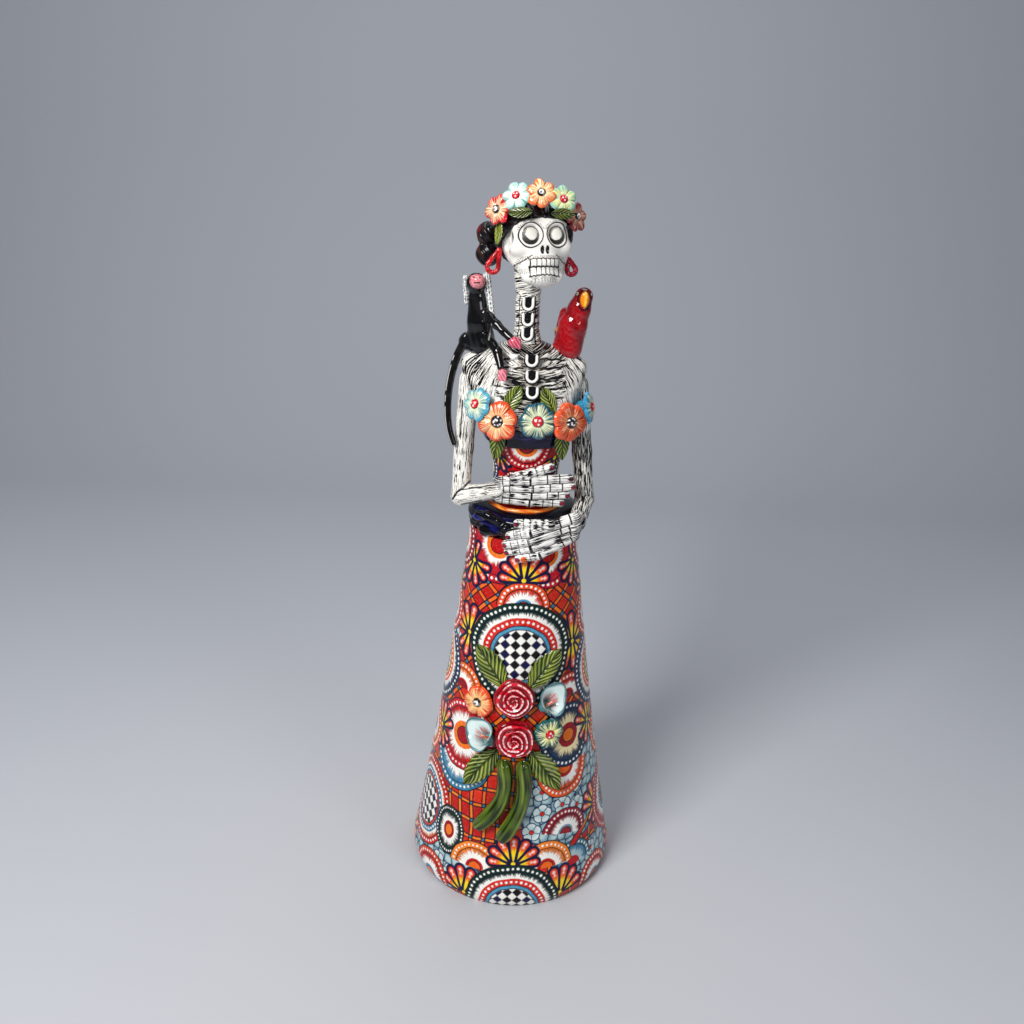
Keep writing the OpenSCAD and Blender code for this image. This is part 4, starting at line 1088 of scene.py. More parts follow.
# ------------------------------------------------------------------ flowers and leaves
def disc_faces(nr, nt, off=0, flip=False):
    """Fan and quads of a polar grid: vertex 0 is the centre, then nr rings of nt."""
    j = np.arange(nt); j2 = (j + 1) % nt
    fan = np.stack([np.zeros(nt, int), 1 + j, 1 + j2, 1 + j2], 1)
    qs = [fan]
    for k in range(nr - 1):
        a = 1 + k * nt
        qs.append(np.stack([a + j, a + nt + j, a + nt + j2, a + j2], 1))
    F = np.concatenate(qs)
    return (F[:, ::-1] if flip else F) + off


def blossom(fr, d, n, t, rim, mid, stroke, back=8.0, seed=0, pointy=0.22, cup=0.5):
    nr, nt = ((34, 240))
    R0 = d / 2
    th = np.linspace(0, 2 * pi, nt, endpoint=False)
    pet = np.abs(np.cos(n * th / 2 + 0.0))
    jit = 0.035 * np.sin(3 * th + seed) + 0.02 * np.sin(7 * th + 2 * seed)
    Rt = R0 * ((1 - pointy) + pointy * pet ** 0.75) * (1.0 + jit) * 0.995
    ks = np.linspace(0, 1, nr + 1)[1:]
    rho, T2 = np.meshgrid(ks, th, indexing="ij")
    RR = rho * Rt[None, :]
    petg = np.abs(np.cos(n * T2 / 2))
    strokes = np.sin(T2 * n * 6 + 1.3 * np.sin(T2 * 5 + seed)) * 0.5 + 0.3 * np.sin(T2 * n * 11 + seed)
    Z = t * (0.62 + cup * 0.55 * np.sin(np.clip(rho, 0, 1) * pi * 0.92) * (0.45 + 0.55 * petg) - 0.30 * rho ** 5)
    Z = Z + 0.16 * strokes * ss(0.25, 0.6, rho) * (1 - ss(0.92, 1, rho)) - 1.25 * (1 - ss(0.02, 0.22, petg)) * ss(0.42, 0.8, rho)
    edge = ss(0.90, 1.0, rho)
    Z = Z * (1 - edge) + (Z - t * 0.22) * edge
    top = np.stack([RR * np.cos(T2), RR * np.sin(T2), Z], -1).reshape(-1, 3)
    top = np.concatenate([[[0, 0, t * 0.66]], top])
    # underside, thick at the middle with a short stalk
    ks2 = np.array([0.999, 0.97, 0.86, 0.66, 0.5, 0.46, 0.44])
    zz2 = np.array([0.10, 0.02, 0.0, 0.0, -0.02, -back / t * 0.5, -back / t])
    rh2, T3 = np.meshgrid(ks2, th, indexing="ij")
    und = np.stack([rh2 * Rt[None, :] * np.cos(T3), rh2 * Rt[None, :] * np.sin(T3), np.repeat(zz2[:, None] * t, nt, 1)], -1).reshape(-1, 3)
    V = np.concatenate([top, und, [[0, 0, -back]]])
    off = len(top)
    F = [disc_faces(nr, nt)]
    j = np.arange(nt); j2 = (j + 1) % nt
    last = 1 + (nr - 1) * nt
    F.append(np.stack([last + j, off + j, off + j2, last + j2], 1))
    F.append(np.concatenate([np.stack([off + k * nt + j, off + (k + 1) * nt + j, off + (k + 1) * nt + j2, off + k * nt + j2], 1) for k in range(len(ks2) - 1)]))
    e = off + (len(ks2) - 1) * nt
    F.append(np.stack([np.full(nt, len(V) - 1), e + j2, e + j, e + j], 1))
    F = np.concatenate(F)
    st = hash1(np.floor(T2 * n * 4.2 + 0.6 * np.sin(T2 * 9 + seed)), seed)
    C = mixc(mid, rim, ss(0.38 + 0.30 * (st - 0.5), 0.78 + 0.26 * (st - 0.5), rho + 0.10 * (1 - petg)))
    st2 = hash1(np.floor(T2 * n * 6.0 * d / 46 + 0.5 * np.sin(T2 * 7 + seed)), seed + 9)
    C = mixc(C, stroke, (st2 > 0.56) * 0.85 * ss(0.30, 0.38, rho) * (1 - ss(0.60 + 0.28 * hash1(st2 * 91), 0.94, rho)))
    C = mixc(C, rim * 0.55, (st2 < 0.24) * 0.7 * ss(0.34, 0.5, rho) * (1 - ss(0.85, 0.97, rho)))
    # darker in the creases between the petals: painted shade
    C = mixc(C, rim * 0.55, 0.75 * (1 - ss(0.03, 0.16, petg)) * ss(0.5, 0.75, rho))
    # darker ring round the centre dome: painted shade under it
    C = mixc(C, rim * 0.5, 0.5 * (1 - ss(0.30, 0.36, rho)))
    # underside in a darker copy of the rim colour: painted shade
    Cp = np.concatenate([[mid], C.reshape(-1, 3), np.tile(rim * 0.8, (len(und) + 1, 1))])
    return place(V, fr, seed * 0.7), F, Cp, None


def eye_dome(fr, r, z, kind, seed=0):
    nr, nt = 12, 40
    th = np.linspace(0, 2 * pi, nt, endpoint=False)
    el = np.linspace(0, pi / 2, nr + 1)[1:]
    E, T = np.meshgrid(el, th, indexing="ij")
    bump = 1 + 0.06 * np.sin(T * 5 + E * 6 + seed)
    V = np.stack([r * np.sin(E) * np.cos(T), r * np.sin(E) * np.sin(T), r * 0.62 * np.cos(E) * bump], -1).reshape(-1, 3)
    V = np.concatenate([[[0, 0, r * 0.62]], V]); V[:, 2] += z
    F = disc_faces(nr, nt)
    x, y = V[:, 0] / r, V[:, 1] / r
    rad = np.hypot(x, y)
    if kind == "red":
        C = mixc(np.tile(lin(206, 28, 44), (len(V), 1)), DRED, ss(0.75, 1, rad) * 0.7)
        for a, q in ((0.7, 0.42), (2.9, 0.45), (5.0, 0.40)):
            C = mixc(C, lin(250, 240, 236), 1 - ss(0.13, 0.24, np.hypot(x - q * math.cos(a + seed), y - q * math.sin(a + seed))))
    elif kind == "white":
        C = np.tile(lin(244, 240, 236), (len(V), 1))
        C = mixc(C, BLACK, ss(0.5, 0.62, rad) * (1 - 0.25 * ss(0.3, 0.8, np.sin(np.arctan2(y, x) * 2 + seed))))
        C = mixc(C, BLACK, (1 - ss(0.2, 0.3, np.hypot(x + 0.2, y + 0.12))) * 1.0)
    else:
        C = np.tile(lin(30, 22, 26), (len(V), 1))
        for j in range(9):
            a, q = j * 2.4 + seed, 0.25 + 0.6 * ((j * 0.37) % 1)
            C = mixc(C, lin(250, 246, 240), 1 - ss(0.10, 0.17, np.hypot(x - q * math.cos(a), y - q * math.sin(a))))
    return place(V, fr), F, C, None


def leaf(fr, l, w, t, rot=0.0, bend=2.5, seed=0, veins=9, hue=0.0):
    nl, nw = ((90, 41))
    s = np.linspace(0, 1, nl); q = np.linspace(-1, 1, nw)
    Sg, Q = np.meshgrid(s, q, indexing="ij")
    # pointed outline made by two arcs
    Rr = (l * l / 4 + w * w / 4) / w
    hw = np.sqrt(np.maximum(Rr * Rr - (l * (Sg - 0.5)) ** 2, 0)) - (Rr - w / 2)
    ser = 1 + 0.035 * np.sin(Sg * pi * 2 * veins + 1) * np.abs(Q)
    x = Q * np.maximum(hw, 0) * ser
    y = Sg * l
    side = np.abs(Q)
    ph = Sg * veins - side * 1.35 * w / l * veins * 0.55
    v = (ph % 1)
    ridge = np.abs(v - 0.5) * 2
    vein = 1 - ss(0.10, 0.42, 1 - ridge)
    mid = 1 - ss(0.05, 0.13, side * np.maximum(hw, 1e-3) / (w / 2))
    dome = (1 - side ** 2)
    z = t * (0.50 + 0.50 * dome) + bend * (Sg ** 2) + 0.5 * np.sin(Sg * 3 + seed)
    z = z - 0.75 * vein * (1 - side ** 6) - 1.1 * mid + 0.22 * np.sin(v * 2 * pi)
    zb = t * 0.12 + bend * (Sg ** 2) * 0.9 + 0.3 * np.sin(Sg * 3 + seed)
    edge = side > 0.999
    top = np.stack([x, y, np.where(edge, (z + zb) / 2, z)], -1)
    bot = np.stack([x * 0.985, y, np.where(edge, (z + zb) / 2, zb)], -1)
    V = np.concatenate([top.reshape(-1, 3), bot.reshape(-1, 3)])
    F = np.concatenate([grid_faces(nl, nw, flip=True), grid_faces(nl, nw, off=nl * nw, flip=False)])
    # stitch the long edges
    i = np.arange(nl - 1)
    o = nl * nw
    F = np.concatenate([F, np.stack([i * nw, (i + 1) * nw, o + (i + 1) * nw, o + i * nw], 1)[:, ::-1],
                        np.stack([i * nw + nw - 1, (i + 1) * nw + nw - 1, o + (i + 1) * nw + nw - 1, o + i * nw + nw - 1], 1)])
    base = mixc(lin(50, 78, 16), lin(118, 136, 38), 0.5 + 0.5 * np.sin(Sg * 9 + Q * 4 + seed))
    # pale yellow-green streaks on the swells between the veins: painted highlights
    base = mixc(base, lin(212, 214, 122), 0.90 * ss(0.66, 0.94, np.sin(v * 2 * pi - 1.2)) * (0.4 + 0.6 * hash1(np.floor(ph) + 7 * (Q > 0), seed)))
    C = mixc(base, lin(16, 30, 6), 0.95 * vein)
    C = mixc(C, lin(30, 48, 12), 0.85 * mid)
    C = mixc(C, lin(40, 60, 16), 0.6 * ss(0.9, 1, side))
    if hue > 0: C = mixc(C, lin(190, 200, 60), hue)
    if hue < 0: C = C * (1 + hue)
    Cp = np.concatenate([C.reshape(-1, 3), np.tile(lin(46, 66, 20), (nl * nw, 1))])
    return place(place(V, (np.eye(3), np.zeros(3)), rot), fr), F, Cp, None


def skirt_frame(x, z, off=0.0):
    r = float(skirt_radius(np.array([z], float))[0]) + off
    a = math.asin(x / r)
    s = math.atan((float(skirt_radius(np.array([z - 5.0]))[0]) - float(skirt_radius(np.array([z + 5.0]))[0])) / 10)
    nrm = np.array([math.sin(a) * math.cos(s), -math.cos(a) * math.cos(s), math.sin(s)])
    return frame_at((r * math.sin(a), -r * math.cos(a), z), nrm)


def up_by(fr, dz): return fr[0], fr[1] + fr[0][:, 2] * dz


def put_parts(name, parts, mat, body, nodes):
    V, F, C, fl = join(parts)
    return mesh_obj(name, V, tri_fix(F), mat, body, nodes, paint=C)


TEALR = lin(22, 92, 110)
AQUA = lin(84, 176, 206)
CORAL = lin(238, 84, 44)
PEACH = lin(250, 168, 116)
MINT = lin(186, 226, 206)
STRAW = lin(244, 240, 186)
flowers = [("chest_flower_1", (-58, -47, 656), (-0.62, -0.72, 0.3), 39, 7, AQUA, lin(214, 236, 206), STRAW, "red", "blue_petal_glaze"),
           ("chest_flower_2", (-34, -57, 640), (-0.22, -0.95, 0.2), 47, 6, CORAL, PEACH, STRAW, "dots", "coral_petal_glaze"),
           ("chest_flower_3", (11, -61, 643), (0.05, -0.98, 0.2), 43, 7, TEALR, lin(206, 230, 200), STRAW, "red", "blue_petal_glaze"),
           ("chest_flower_4", (47, -52, 641), (0.5, -0.84, 0.15), 46, 6, lin(240, 96, 56), PEACH, lin(120, 50, 30), "dots", "coral_petal_glaze"),
           ("chest_flower_5", (68, -27, 652), (0.95, -0.25, 0.2), 38, 6, lin(60, 150, 190), lin(206, 230, 200), STRAW, "red", "blue_petal_glaze")]
eyes = []
for k, (nm, p, nrm, d, n, rim, mid, stk, eye, slot) in enumerate(flowers):
    fr = frame_at(p, nrm)
    put_parts(nm + "_bloom", [blossom(fr, d, n, 7, rim, mid, stk, back=8 if k in (1, 2) else 11, seed=k + 1, pointy=0.13)], m_gloss, "figure", (nm,))
    eyes.append(eye_dome(up_by(fr, 4.6), d * 0.155, 0.2, eye, seed=k))
put_parts("chest_eyes", eyes, m_gloss, "figure", ("chest_flower_centres",))

fr = skirt_frame(-46, 283, 4)
put_parts("skirt_coral_bloom", [blossom(fr, 42, 6, 7, lin(236, 84, 40), lin(250, 190, 120), lin(250, 216, 150), back=5, seed=3, pointy=0.10)], m_gloss, "figure", ("skirt_coral_flower",))
fr2 = skirt_frame(42, 246, 4)
put_parts("skirt_yellow_bloom", [blossom(fr2, 41, 6, 7, lin(28, 98, 96), lin(240, 238, 150), lin(250, 246, 190), back=5, seed=6, pointy=0.10)], m_gloss, "figure",
          ("skirt_yellow_flower",))
put_parts("skirt_eyes", [eye_dome(up_by(fr, 4.6), 6.0, 0.2, "white", 2), eye_dome(up_by(fr2, 4.6), 6.2, 0.2, "red", 1)], m_gloss, "figure", ("skirt_flower_centres",))

m_leaf = glaze("leaf_glaze_look", rough=0.12, coat=0.3, vary=0.25, spec=0.28)
cl = []
for p, nrm, a, l, w in (((-28, -57, 650), (-0.1, -0.95, 0.3), -28, 37, 19), ((31, -55, 650), (0.3, -0.92, 0.3), 24, 35, 18),
                        ((-33, -50, 634), (-0.4, -0.9, -0.1), 172, 46, 20), ((41, -45, 634), (0.45, -0.88, -0.1), 184, 44, 20)):
    cl.append(leaf(up_by(frame_at(p, nrm), -3), l, w, 3.2, rot=math.radians(a), bend=3, seed=a, veins=7))
put_parts("chest_leaf_set", cl, m_leaf, "figure", ("chest_leaves",))
bl = []
for x, z, a, l, w in ((-14, 306, 34, 67, 31), (14, 306, -36, 67, 30), (-20, 224, 143, 67, 31), (20, 224, -145, 67, 31)):
    bl.append(leaf(skirt_frame(x, z, 0.6), l, w, 5.0, rot=math.radians(a), bend=4.0, seed=a, veins=8))
put_parts("bouquet_leaf_set", bl, m_leaf, "figure", ("bouquet_leaves",))

stems = []
for (x0, z0, x1, z1), bow in (((-12, 205, -40, 121), -1), ((12, 205, -9, 110), -1)):
    pts = []
    for t in np.linspace(0, 1, 34):
        z = z0 + (z1 - z0) * t
        r = float(skirt_radius(np.array([z]))[0]) + 7.4
        x = x0 + (x1 - x0) * (t ** 2.3) + 5.0 * math.sin(pi * t)
        a = math.asin(x / r)
        pts.append((r * math.sin(a), -r * math.cos(a), z))
    rad = [9.2 + 1.5 * t - 1.6 * max(0.0, t - 0.93) / 0.07 + 0.5 * math.sin(9 * t + x0) for t in np.linspace(0, 1, 34)]
    V, F, caps, Sg, TH = round_tube(pts, rad, n=64, closed_ends=10)
    V0 = V.copy()
    g = 0.5 * np.sin(TH * 7 + 0.5 * np.sin(Sg * 0.05)) + 0.3 * np.sin(TH * 13 + Sg * 0.03)
    ctr = np.array(pts)
    dd = V - ctr[np.argmin(((V[:, None] - ctr[None]) ** 2).sum(-1), axis=1)]
    dn = dd / np.maximum(np.linalg.norm(dd, axis=1), 1e-6)[:, None]
    g = g + 0.5 * np.sin(TH * 3 + Sg * 0.05 + x0)
    V = V + dn * (g * 0.75)[:, None]
    # dark green in the grooves of the relief and light green on its ridges: painted shade and painted highlights
    C = mixc(lin(76, 98, 26), lin(22, 36, 8), ss(0.2, -0.8, g + 0.3 * np.sin(Sg * 0.16 + TH)))
    C = mixc(C, lin(146, 160, 60), 0.55 * ss(0.5, 1.0, g))
    C = mixc(C, lin(18, 30, 8), 0.7 * ss(Sg.max() - 9, Sg.max() - 1, Sg))
    stems.append((V, np.concatenate([F, caps]), C, None))
put_parts("bouquet_stem_pair", stems, m_leaf, "figure", ("bouquet_stems",))


def rose(fr, R, seed=0):
    nr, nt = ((110, 300))
    th = np.linspace(0, 2 * pi, nt, endpoint=False); ks = np.linspace(0, 1, nr + 1)[1:]
    K, T = np.meshgrid(ks, th, indexing="ij")
    wave = 0.10 * np.sin(3 * T + seed + K * 7) + 0.06 * np.sin(5 * T - seed * 2 + K * 11)
    ph = K * 4.1 + T / (2 * pi) + wave
    f = ph % 1
    turn = np.floor(ph)
    saw = np.where(f < 0.80, (f / 0.80) ** 1.4, 1 - ss(0.80, 1.0, f))
    dome = np.sqrt(np.clip(1 - (K * 0.93) ** 2.6, 0, 1))
    Z = 21.5 * dome * 0.80 + 3.4 * saw * ss(0.02, 0.12, K) * (1 - ss(0.93, 1, K)) - 1.6 * np.exp(-(K / 0.10) ** 2)
    rr = R * K * (1 + 0.035 * np.sin(4 * T + seed) * K)
    V = np.stack([rr * np.cos(T), rr * np.sin(T), Z], -1).reshape(-1, 3)
    V = np.concatenate([[[0, 0, 21.5 * 0.8 - 1.6]], V])
    F = disc_faces(nr, nt)
    # lower side closes to the skirt
    ks2 = [(1.0, Z[-1]), (0.985, Z[-1] - 3.5), (0.90, Z[-1] * 0 + 2.5), (0.70, Z[-1] * 0 - 1.0)]
    und = np.concatenate([np.stack([R * k * (1 + 0.035 * np.sin(4 * th + seed)) * np.cos(th), R * k * (1 + 0.035 * np.sin(4 * th + seed)) * np.sin(th), zz_], 1) for k, zz_ in ks2])
    off = len(V)
    V = np.concatenate([V, und, [[0, 0, -1.0]]])
    j = np.arange(nt); j2 = (j + 1) % nt
    last = 1 + (nr - 1) * nt
    Fs = [F, np.stack([last + j, off + j, off + j2, last + j2], 1)]
    for k in range(3): Fs.append(np.stack([off + k * nt + j, off + (k + 1) * nt + j, off + (k + 1) * nt + j2, off + k * nt + j2], 1))
    Fs.append(np.stack([np.full(nt, len(V) - 1), off + 3 * nt + j2, off + 3 * nt + j, off + 3 * nt + j], 1))
    # crimson darker low in each spiral turn and brighter towards its raised edge: painted shade and painted light
    # following the relief
    C = mixc(lin(128, 4, 18), lin(222, 20, 44), ss(0.05, 0.75, saw))
    dash = hash1(np.floor(T * 3.2 + turn * 1.7 + 0.3 * np.sin(turn * 9)), seed) > 0.36
    soft = ss(0.0, 0.15, (T * 3.2 + turn * 1.7 + 0.3 * np.sin(turn * 9)) % 1) * (1 - ss(0.8, 1, (T * 3.2 + turn * 1.7 + 0.3 * np.sin(turn * 9)) % 1))
    crest = ss(0.50, 0.60, f) * (1 - ss(0.80, 0.88, f))
    C = mixc(C, lin(252, 222, 224), crest * dash * soft * (1 - ss(0.9, 0.97, K)) * ss(0.05, 0.1, K) * 0.95)
    # dark band just past each petal edge, where the surface drops: painted shadow under the edge
    C = mixc(C, lin(70, 4, 14), 0.8 * ss(0.86, 0.95, f) * ss(0.03, 0.1, K))
    Cp = np.concatenate([[lin(150, 12, 28)], C.reshape(-1, 3), np.tile(lin(150, 12, 30), (len(und) + 1, 1))])
    return place(V, fr), np.concatenate(Fs), Cp, None


put_parts("rose_upper_bloom", [rose(skirt_frame(-2, 296), 25.2, 1)], m_gloss, "figure", ("rose_upper",))
put_parts("rose_lower_bloom", [rose(skirt_frame(0, 242), 25.2, 4)], m_gloss, "figure", ("rose_lower",))


def rot_x(a): c, s = math.cos(a), math.sin(a); return np.array([[1, 0, 0], [0, c, -s], [0, s, c]])
def rot_y(a): c, s = math.cos(a), math.sin(a); return np.array([[c, 0, s], [0, 1, 0], [-s, 0, c]])
def rot_z(a): c, s = math.cos(a), math.sin(a); return np.array([[c, -s, 0], [s, c, 0], [0, 0, 1]])


def calla_frame(x, z, a):
    R, p = skirt_frame(x, z, 9)
    R2 = R @ rot_x(math.radians(-38)) @ rot_y(math.radians(a))
    return R2, p + R2 @ np.array([0, 0, -7.0])


def calla(fr, tip, seed=0):
    """One rolled petal: a funnel whose lip flares, runs out to a point at angle tip and overlaps itself at the other side."""
    ns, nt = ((60, 150))
    s = np.linspace(0, 1, ns); th = np.linspace(-0.12, 2 * pi + 0.12, nt)
    Sg, T = np.meshgrid(s, th, indexing="ij")
    lobe = np.exp(-((np.angle(np.exp(1j * (T - pi))) / 0.75) ** 2))
    over = (T / (2 * pi) - 0.5)
    L = 22 + 9 * lobe
    r = 6.5 + 12.0 * Sg ** 2.1 + 5.6 * lobe * Sg ** 4 + 2.6 * over * (0.3 + Sg)
    z = L * Sg - 3.0 * Sg ** 6 * (1 - lobe) + 1.2 * np.sin(T * 3 + seed) * Sg ** 3
    out = []
    for side, th_ in ((0, 0.75), (1, -0.75)):
        rr = r + th_
        out.append(np.stack([rr * np.cos(T + tip - pi), rr * np.sin(T + tip - pi), z - (0.4 if side else 0) * Sg], -1).reshape(-1, 3))
    V = np.concatenate(out)
    a = grid_faces(ns, nt, flip=True); b = grid_faces(ns, nt, off=ns * nt, flip=False)
    j = np.arange(nt - 1); e = (ns - 1) * nt; o = ns * nt
    rim = np.stack([e + j, e + j + 1, o + e + j + 1, o + e + j], 1)[:, ::-1]
    i = np.arange(ns - 1)
    s1 = np.stack([i * nt, (i + 1) * nt, o + (i + 1) * nt, o + i * nt], 1)
    s2 = np.stack([i * nt + nt - 1, (i + 1) * nt + nt - 1, o + (i + 1) * nt + nt - 1, o + i * nt + nt - 1], 1)[:, ::-1]
    F = np.concatenate([a, b, rim, s1, s2])
    st = hash1(np.floor(T * 9 + 0.4 * np.sin(Sg * 9)), seed)
    outer = mixc(lin(70, 138, 146), lin(168, 206, 210), ss(0.1, 0.8, Sg + 0.2 * (st - 0.5)))
    outer = mixc(outer, lin(30, 100, 110), 0.9 * ss(0.90, 1, Sg))
    inner = mixc(lin(96, 152, 160), lin(212, 230, 228), ss(0.2, 0.80, Sg + 0.12 * np.sin(T * 4 + seed)))
    inner = mixc(inner, lin(216, 72, 60), 0.9 * (st > 0.42) * ss(0.25, 0.35, Sg) * (1 - ss(0.6, 0.75, Sg)) * np.exp(-((np.angle(np.exp(1j * (T - pi))) / 1.2) ** 2)))
    inner = mixc(inner, lin(34, 106, 116), 0.85 * ss(0.91, 0.99, Sg + 0.03 * np.sin(T * 5 + seed)))
    C = np.concatenate([outer.reshape(-1, 3), inner.reshape(-1, 3)])
    return place(V, fr), F, C, None


def bulb_base(fr, seed=0):
    n, m = 48, 14
    th = np.linspace(0, 2 * pi, n, endpoint=False)
    prof = [(0.05, -0.5), (4, -0.5), (6.5, 0.2), (7.6, 2.5), (7.4, 5), (6.6, 6), (3, 6.3), (0.05, 6.4)]
    V = np.array([[r * math.cos(a), r * math.sin(a), z] for r, z in prof for a in th])
    F = grid_faces(len(prof), n, wrap_v=True, flip=False)
    return place(V, fr), F, np.tile(lin(110, 160, 150), (len(V), 1)), None


m_calla = glaze("calla_glaze_look", rough=0.10, coat=0.35, vary=0.08, soft=0.05)
cfl, cfr = calla_frame(-34, 240, -30), calla_frame(38, 287, 26)
put_parts("calla_left_bloom", [calla(cfl, 2.5, 1), bulb_base(cfl)], m_calla, "figure", ("calla_left",))
put_parts("calla_right_bloom", [calla(cfr, 0.9, 2), bulb_base(cfr)], m_calla, "figure", ("calla_right",))
sp = []
for R_, p_ in (cfl, cfr):
    pts = [p_ + R_ @ np.array([0.8 * math.sin(t * 3), 0.5 * t, 3 + 14 * t]) for t in np.linspace(0, 1, 14)]
    V, F, caps, Sg, TH = round_tube(pts, [2.9 - 0.9 * t for t in np.linspace(0, 1, 14)], n=24, closed_ends=6)
    C = mixc(lin(214, 66, 56), lin(246, 196, 170), (hash1(np.floor(Sg / 1.6) * 7 + np.floor(TH * 2.2)) > 0.5) * 0.8)
    sp.append((V, np.concatenate([F, caps]), C, None))
put_parts("calla_spadix_pair", sp, m_gloss, "figure", ("calla_spadices",))


# ------------------------------------------------------------------ neck and head
def neck_piece():
    n = 200
    zs = np.arange(722.4, 812, 0.8)
    r = np.interp(zs, [722.3, 728, 738, 778, 790, 812], [18.2, 16, 14, 14, 16, 18])
    r = np.convolve(np.pad(r, 4, mode="edge"), np.ones(9) / 9, "valid")
    th = np.linspace(-pi, pi, n, endpoint=False)
    A, Z = np.meshgrid(th, zs, indexing="ij"); R = np.tile(r, (n, 1))
    rel = 0.35 * np.sin(Z * 0.72) * np.abs(np.sin(A / 2)) + 0.25 * np.sin(A * 9)
    V = np.stack([-6 + (R + rel) * np.sin(A), -8 - (R + rel) * np.cos(A), Z], -1).reshape(-1, 3)
    F = grid_faces(n, len(zs), wrap_u=True, flip=False)
    m = 40
    th2 = np.linspace(-pi, pi, m, endpoint=False)
    prof = [(18.2, 722.35), (6.2, 722.35), (6.2, 811.5), (17.8, 811.5)]
    V2 = np.array([[-6 + rr * math.sin(a), -8 - rr * math.cos(a), z] for a in th2 for rr, z in prof])
    F2 = grid_faces(m, len(prof), wrap_u=True, flip=True, off=len(V))
    a = A.ravel(); z = Z.ravel()
    C = np.tile(BONE, (len(V), 1))
    front = np.abs(a) * 14
    C = mixc(C, BLACK, (1 - ss(0.5, 1.1, np.abs(front - 9.6 - 0.5 * np.sin(z * 0.5)))) * (z < 776))
    for k in range(5):
        zc = 733 + k * 11
        C = mixc(C, BLACK, (1 - ss(0.4, 0.9, np.abs(z - zc - 0.3 * (front - 10)))) * (front > 10) * (front < 19))
    # greyer towards the top of the neck, under the skull: painted shade
    C = mixc(C, lin(140, 120, 100), 0.4 * ss(795, 806, z))
    fl = np.stack([np.where(front < 22, z - 0.25 * a * 14, a * 14), np.where(front < 22, a * 14, z), np.where(front < 22, 0.74, 0.76)], 1)
    Va = np.concatenate([V, V2]); Fa = np.concatenate([F, F2])
    mesh_obj("neck", Va, Fa, m_bone, "head", ("neck_column",), paint=np.concatenate([C, np.tile(lin(188, 112, 80), (len(V2), 1))]),
             flow=np.concatenate([fl, np.zeros((len(V2), 3))]))


neck_piece()
bones("neck_bones", [frame_at((-5, y, z), (0, -1, k)) for z, y, k in ((733, -23.6, 0.16), (749.5, -22.4, 0.0), (767, -22.3, 0.0))], 14, 15.5, 2.5, m_gloss, ("neck_vertebrae",), "head")

HC = np.array([0.0, -5.0, 836.0])
HR = rot_z(math.radians(15)) @ rot_x(math.radians(-20))


def to_head(P): return (P - HC) @ HR
def from_head(Q): return Q @ HR.T + HC


SOCK = [np.array([s * 14.6, -37.5, -3.0]) for s in (-1, 1)]


def skull_f(Q):
    d = sph(Q, (0, 0, 0), 38.2)
    d = smin(d, ell(Q, (0, -12, -8), (31, 26.5, 24)), 8)
    for s in (-1, 1):
        d = smin(d, ell(Q, (s * 25, -20, -14), (10, 11.5, 9)), 6)
        d = smin(d, seg(Q, (s * 26, -6, -20), (s * 16, -22, -45), 6.5, 7), 8)
        d = smin(d, ell(Q, (s * 15, -31, 9), (12, 7, 4.6)), 5)
    d = smin(d, ell(Q, (0, -23, -31), (19.5, 17.2, 11.5)), 6)
    d = smin(d, ell(Q, (0, -20.5, -45), (17.5, 15.5, 11.5)), 5)
    for c in SOCK:
        d = smax(d, -ell(Q, c, (10.2, 9.5, 10.6)), 2.4)
        d = smin(d, ell(Q, c + np.array([0, 6.5, 0.5]), (8.2, 5.0, 8.2)), 1.6)
    for s in (-1, 1):
        d = smax(d, -ell(Q, (s * 2.9, -39.5, -19), (1.9, 4.5, 4.2)), 1.2)
        d = smax(d, -ell(Q, (s * 34.5, -14, -2), (4, 10, 12)), 5)
    # teeth: shallow grooves between them
    mx = np.abs(Q[:, 0]) < 17
    u = np.arctan2(Q[:, 0], 24 + 0 * Q[:, 1]) * 24
    cell = np.abs(((u / 4.7) % 1) - 0.5) * 2
    row = (Q[:, 2] > -45.5) & (Q[:, 2] < -28.5) & (Q[:, 1] < -24) & mx
    mid = np.abs(Q[:, 2] + 37.0)
    d = d + row * (0.55 * ss(0.80, 0.98, cell) + 0.7 * (1 - ss(0.3, 1.1, mid)) - 0.35)
    return d


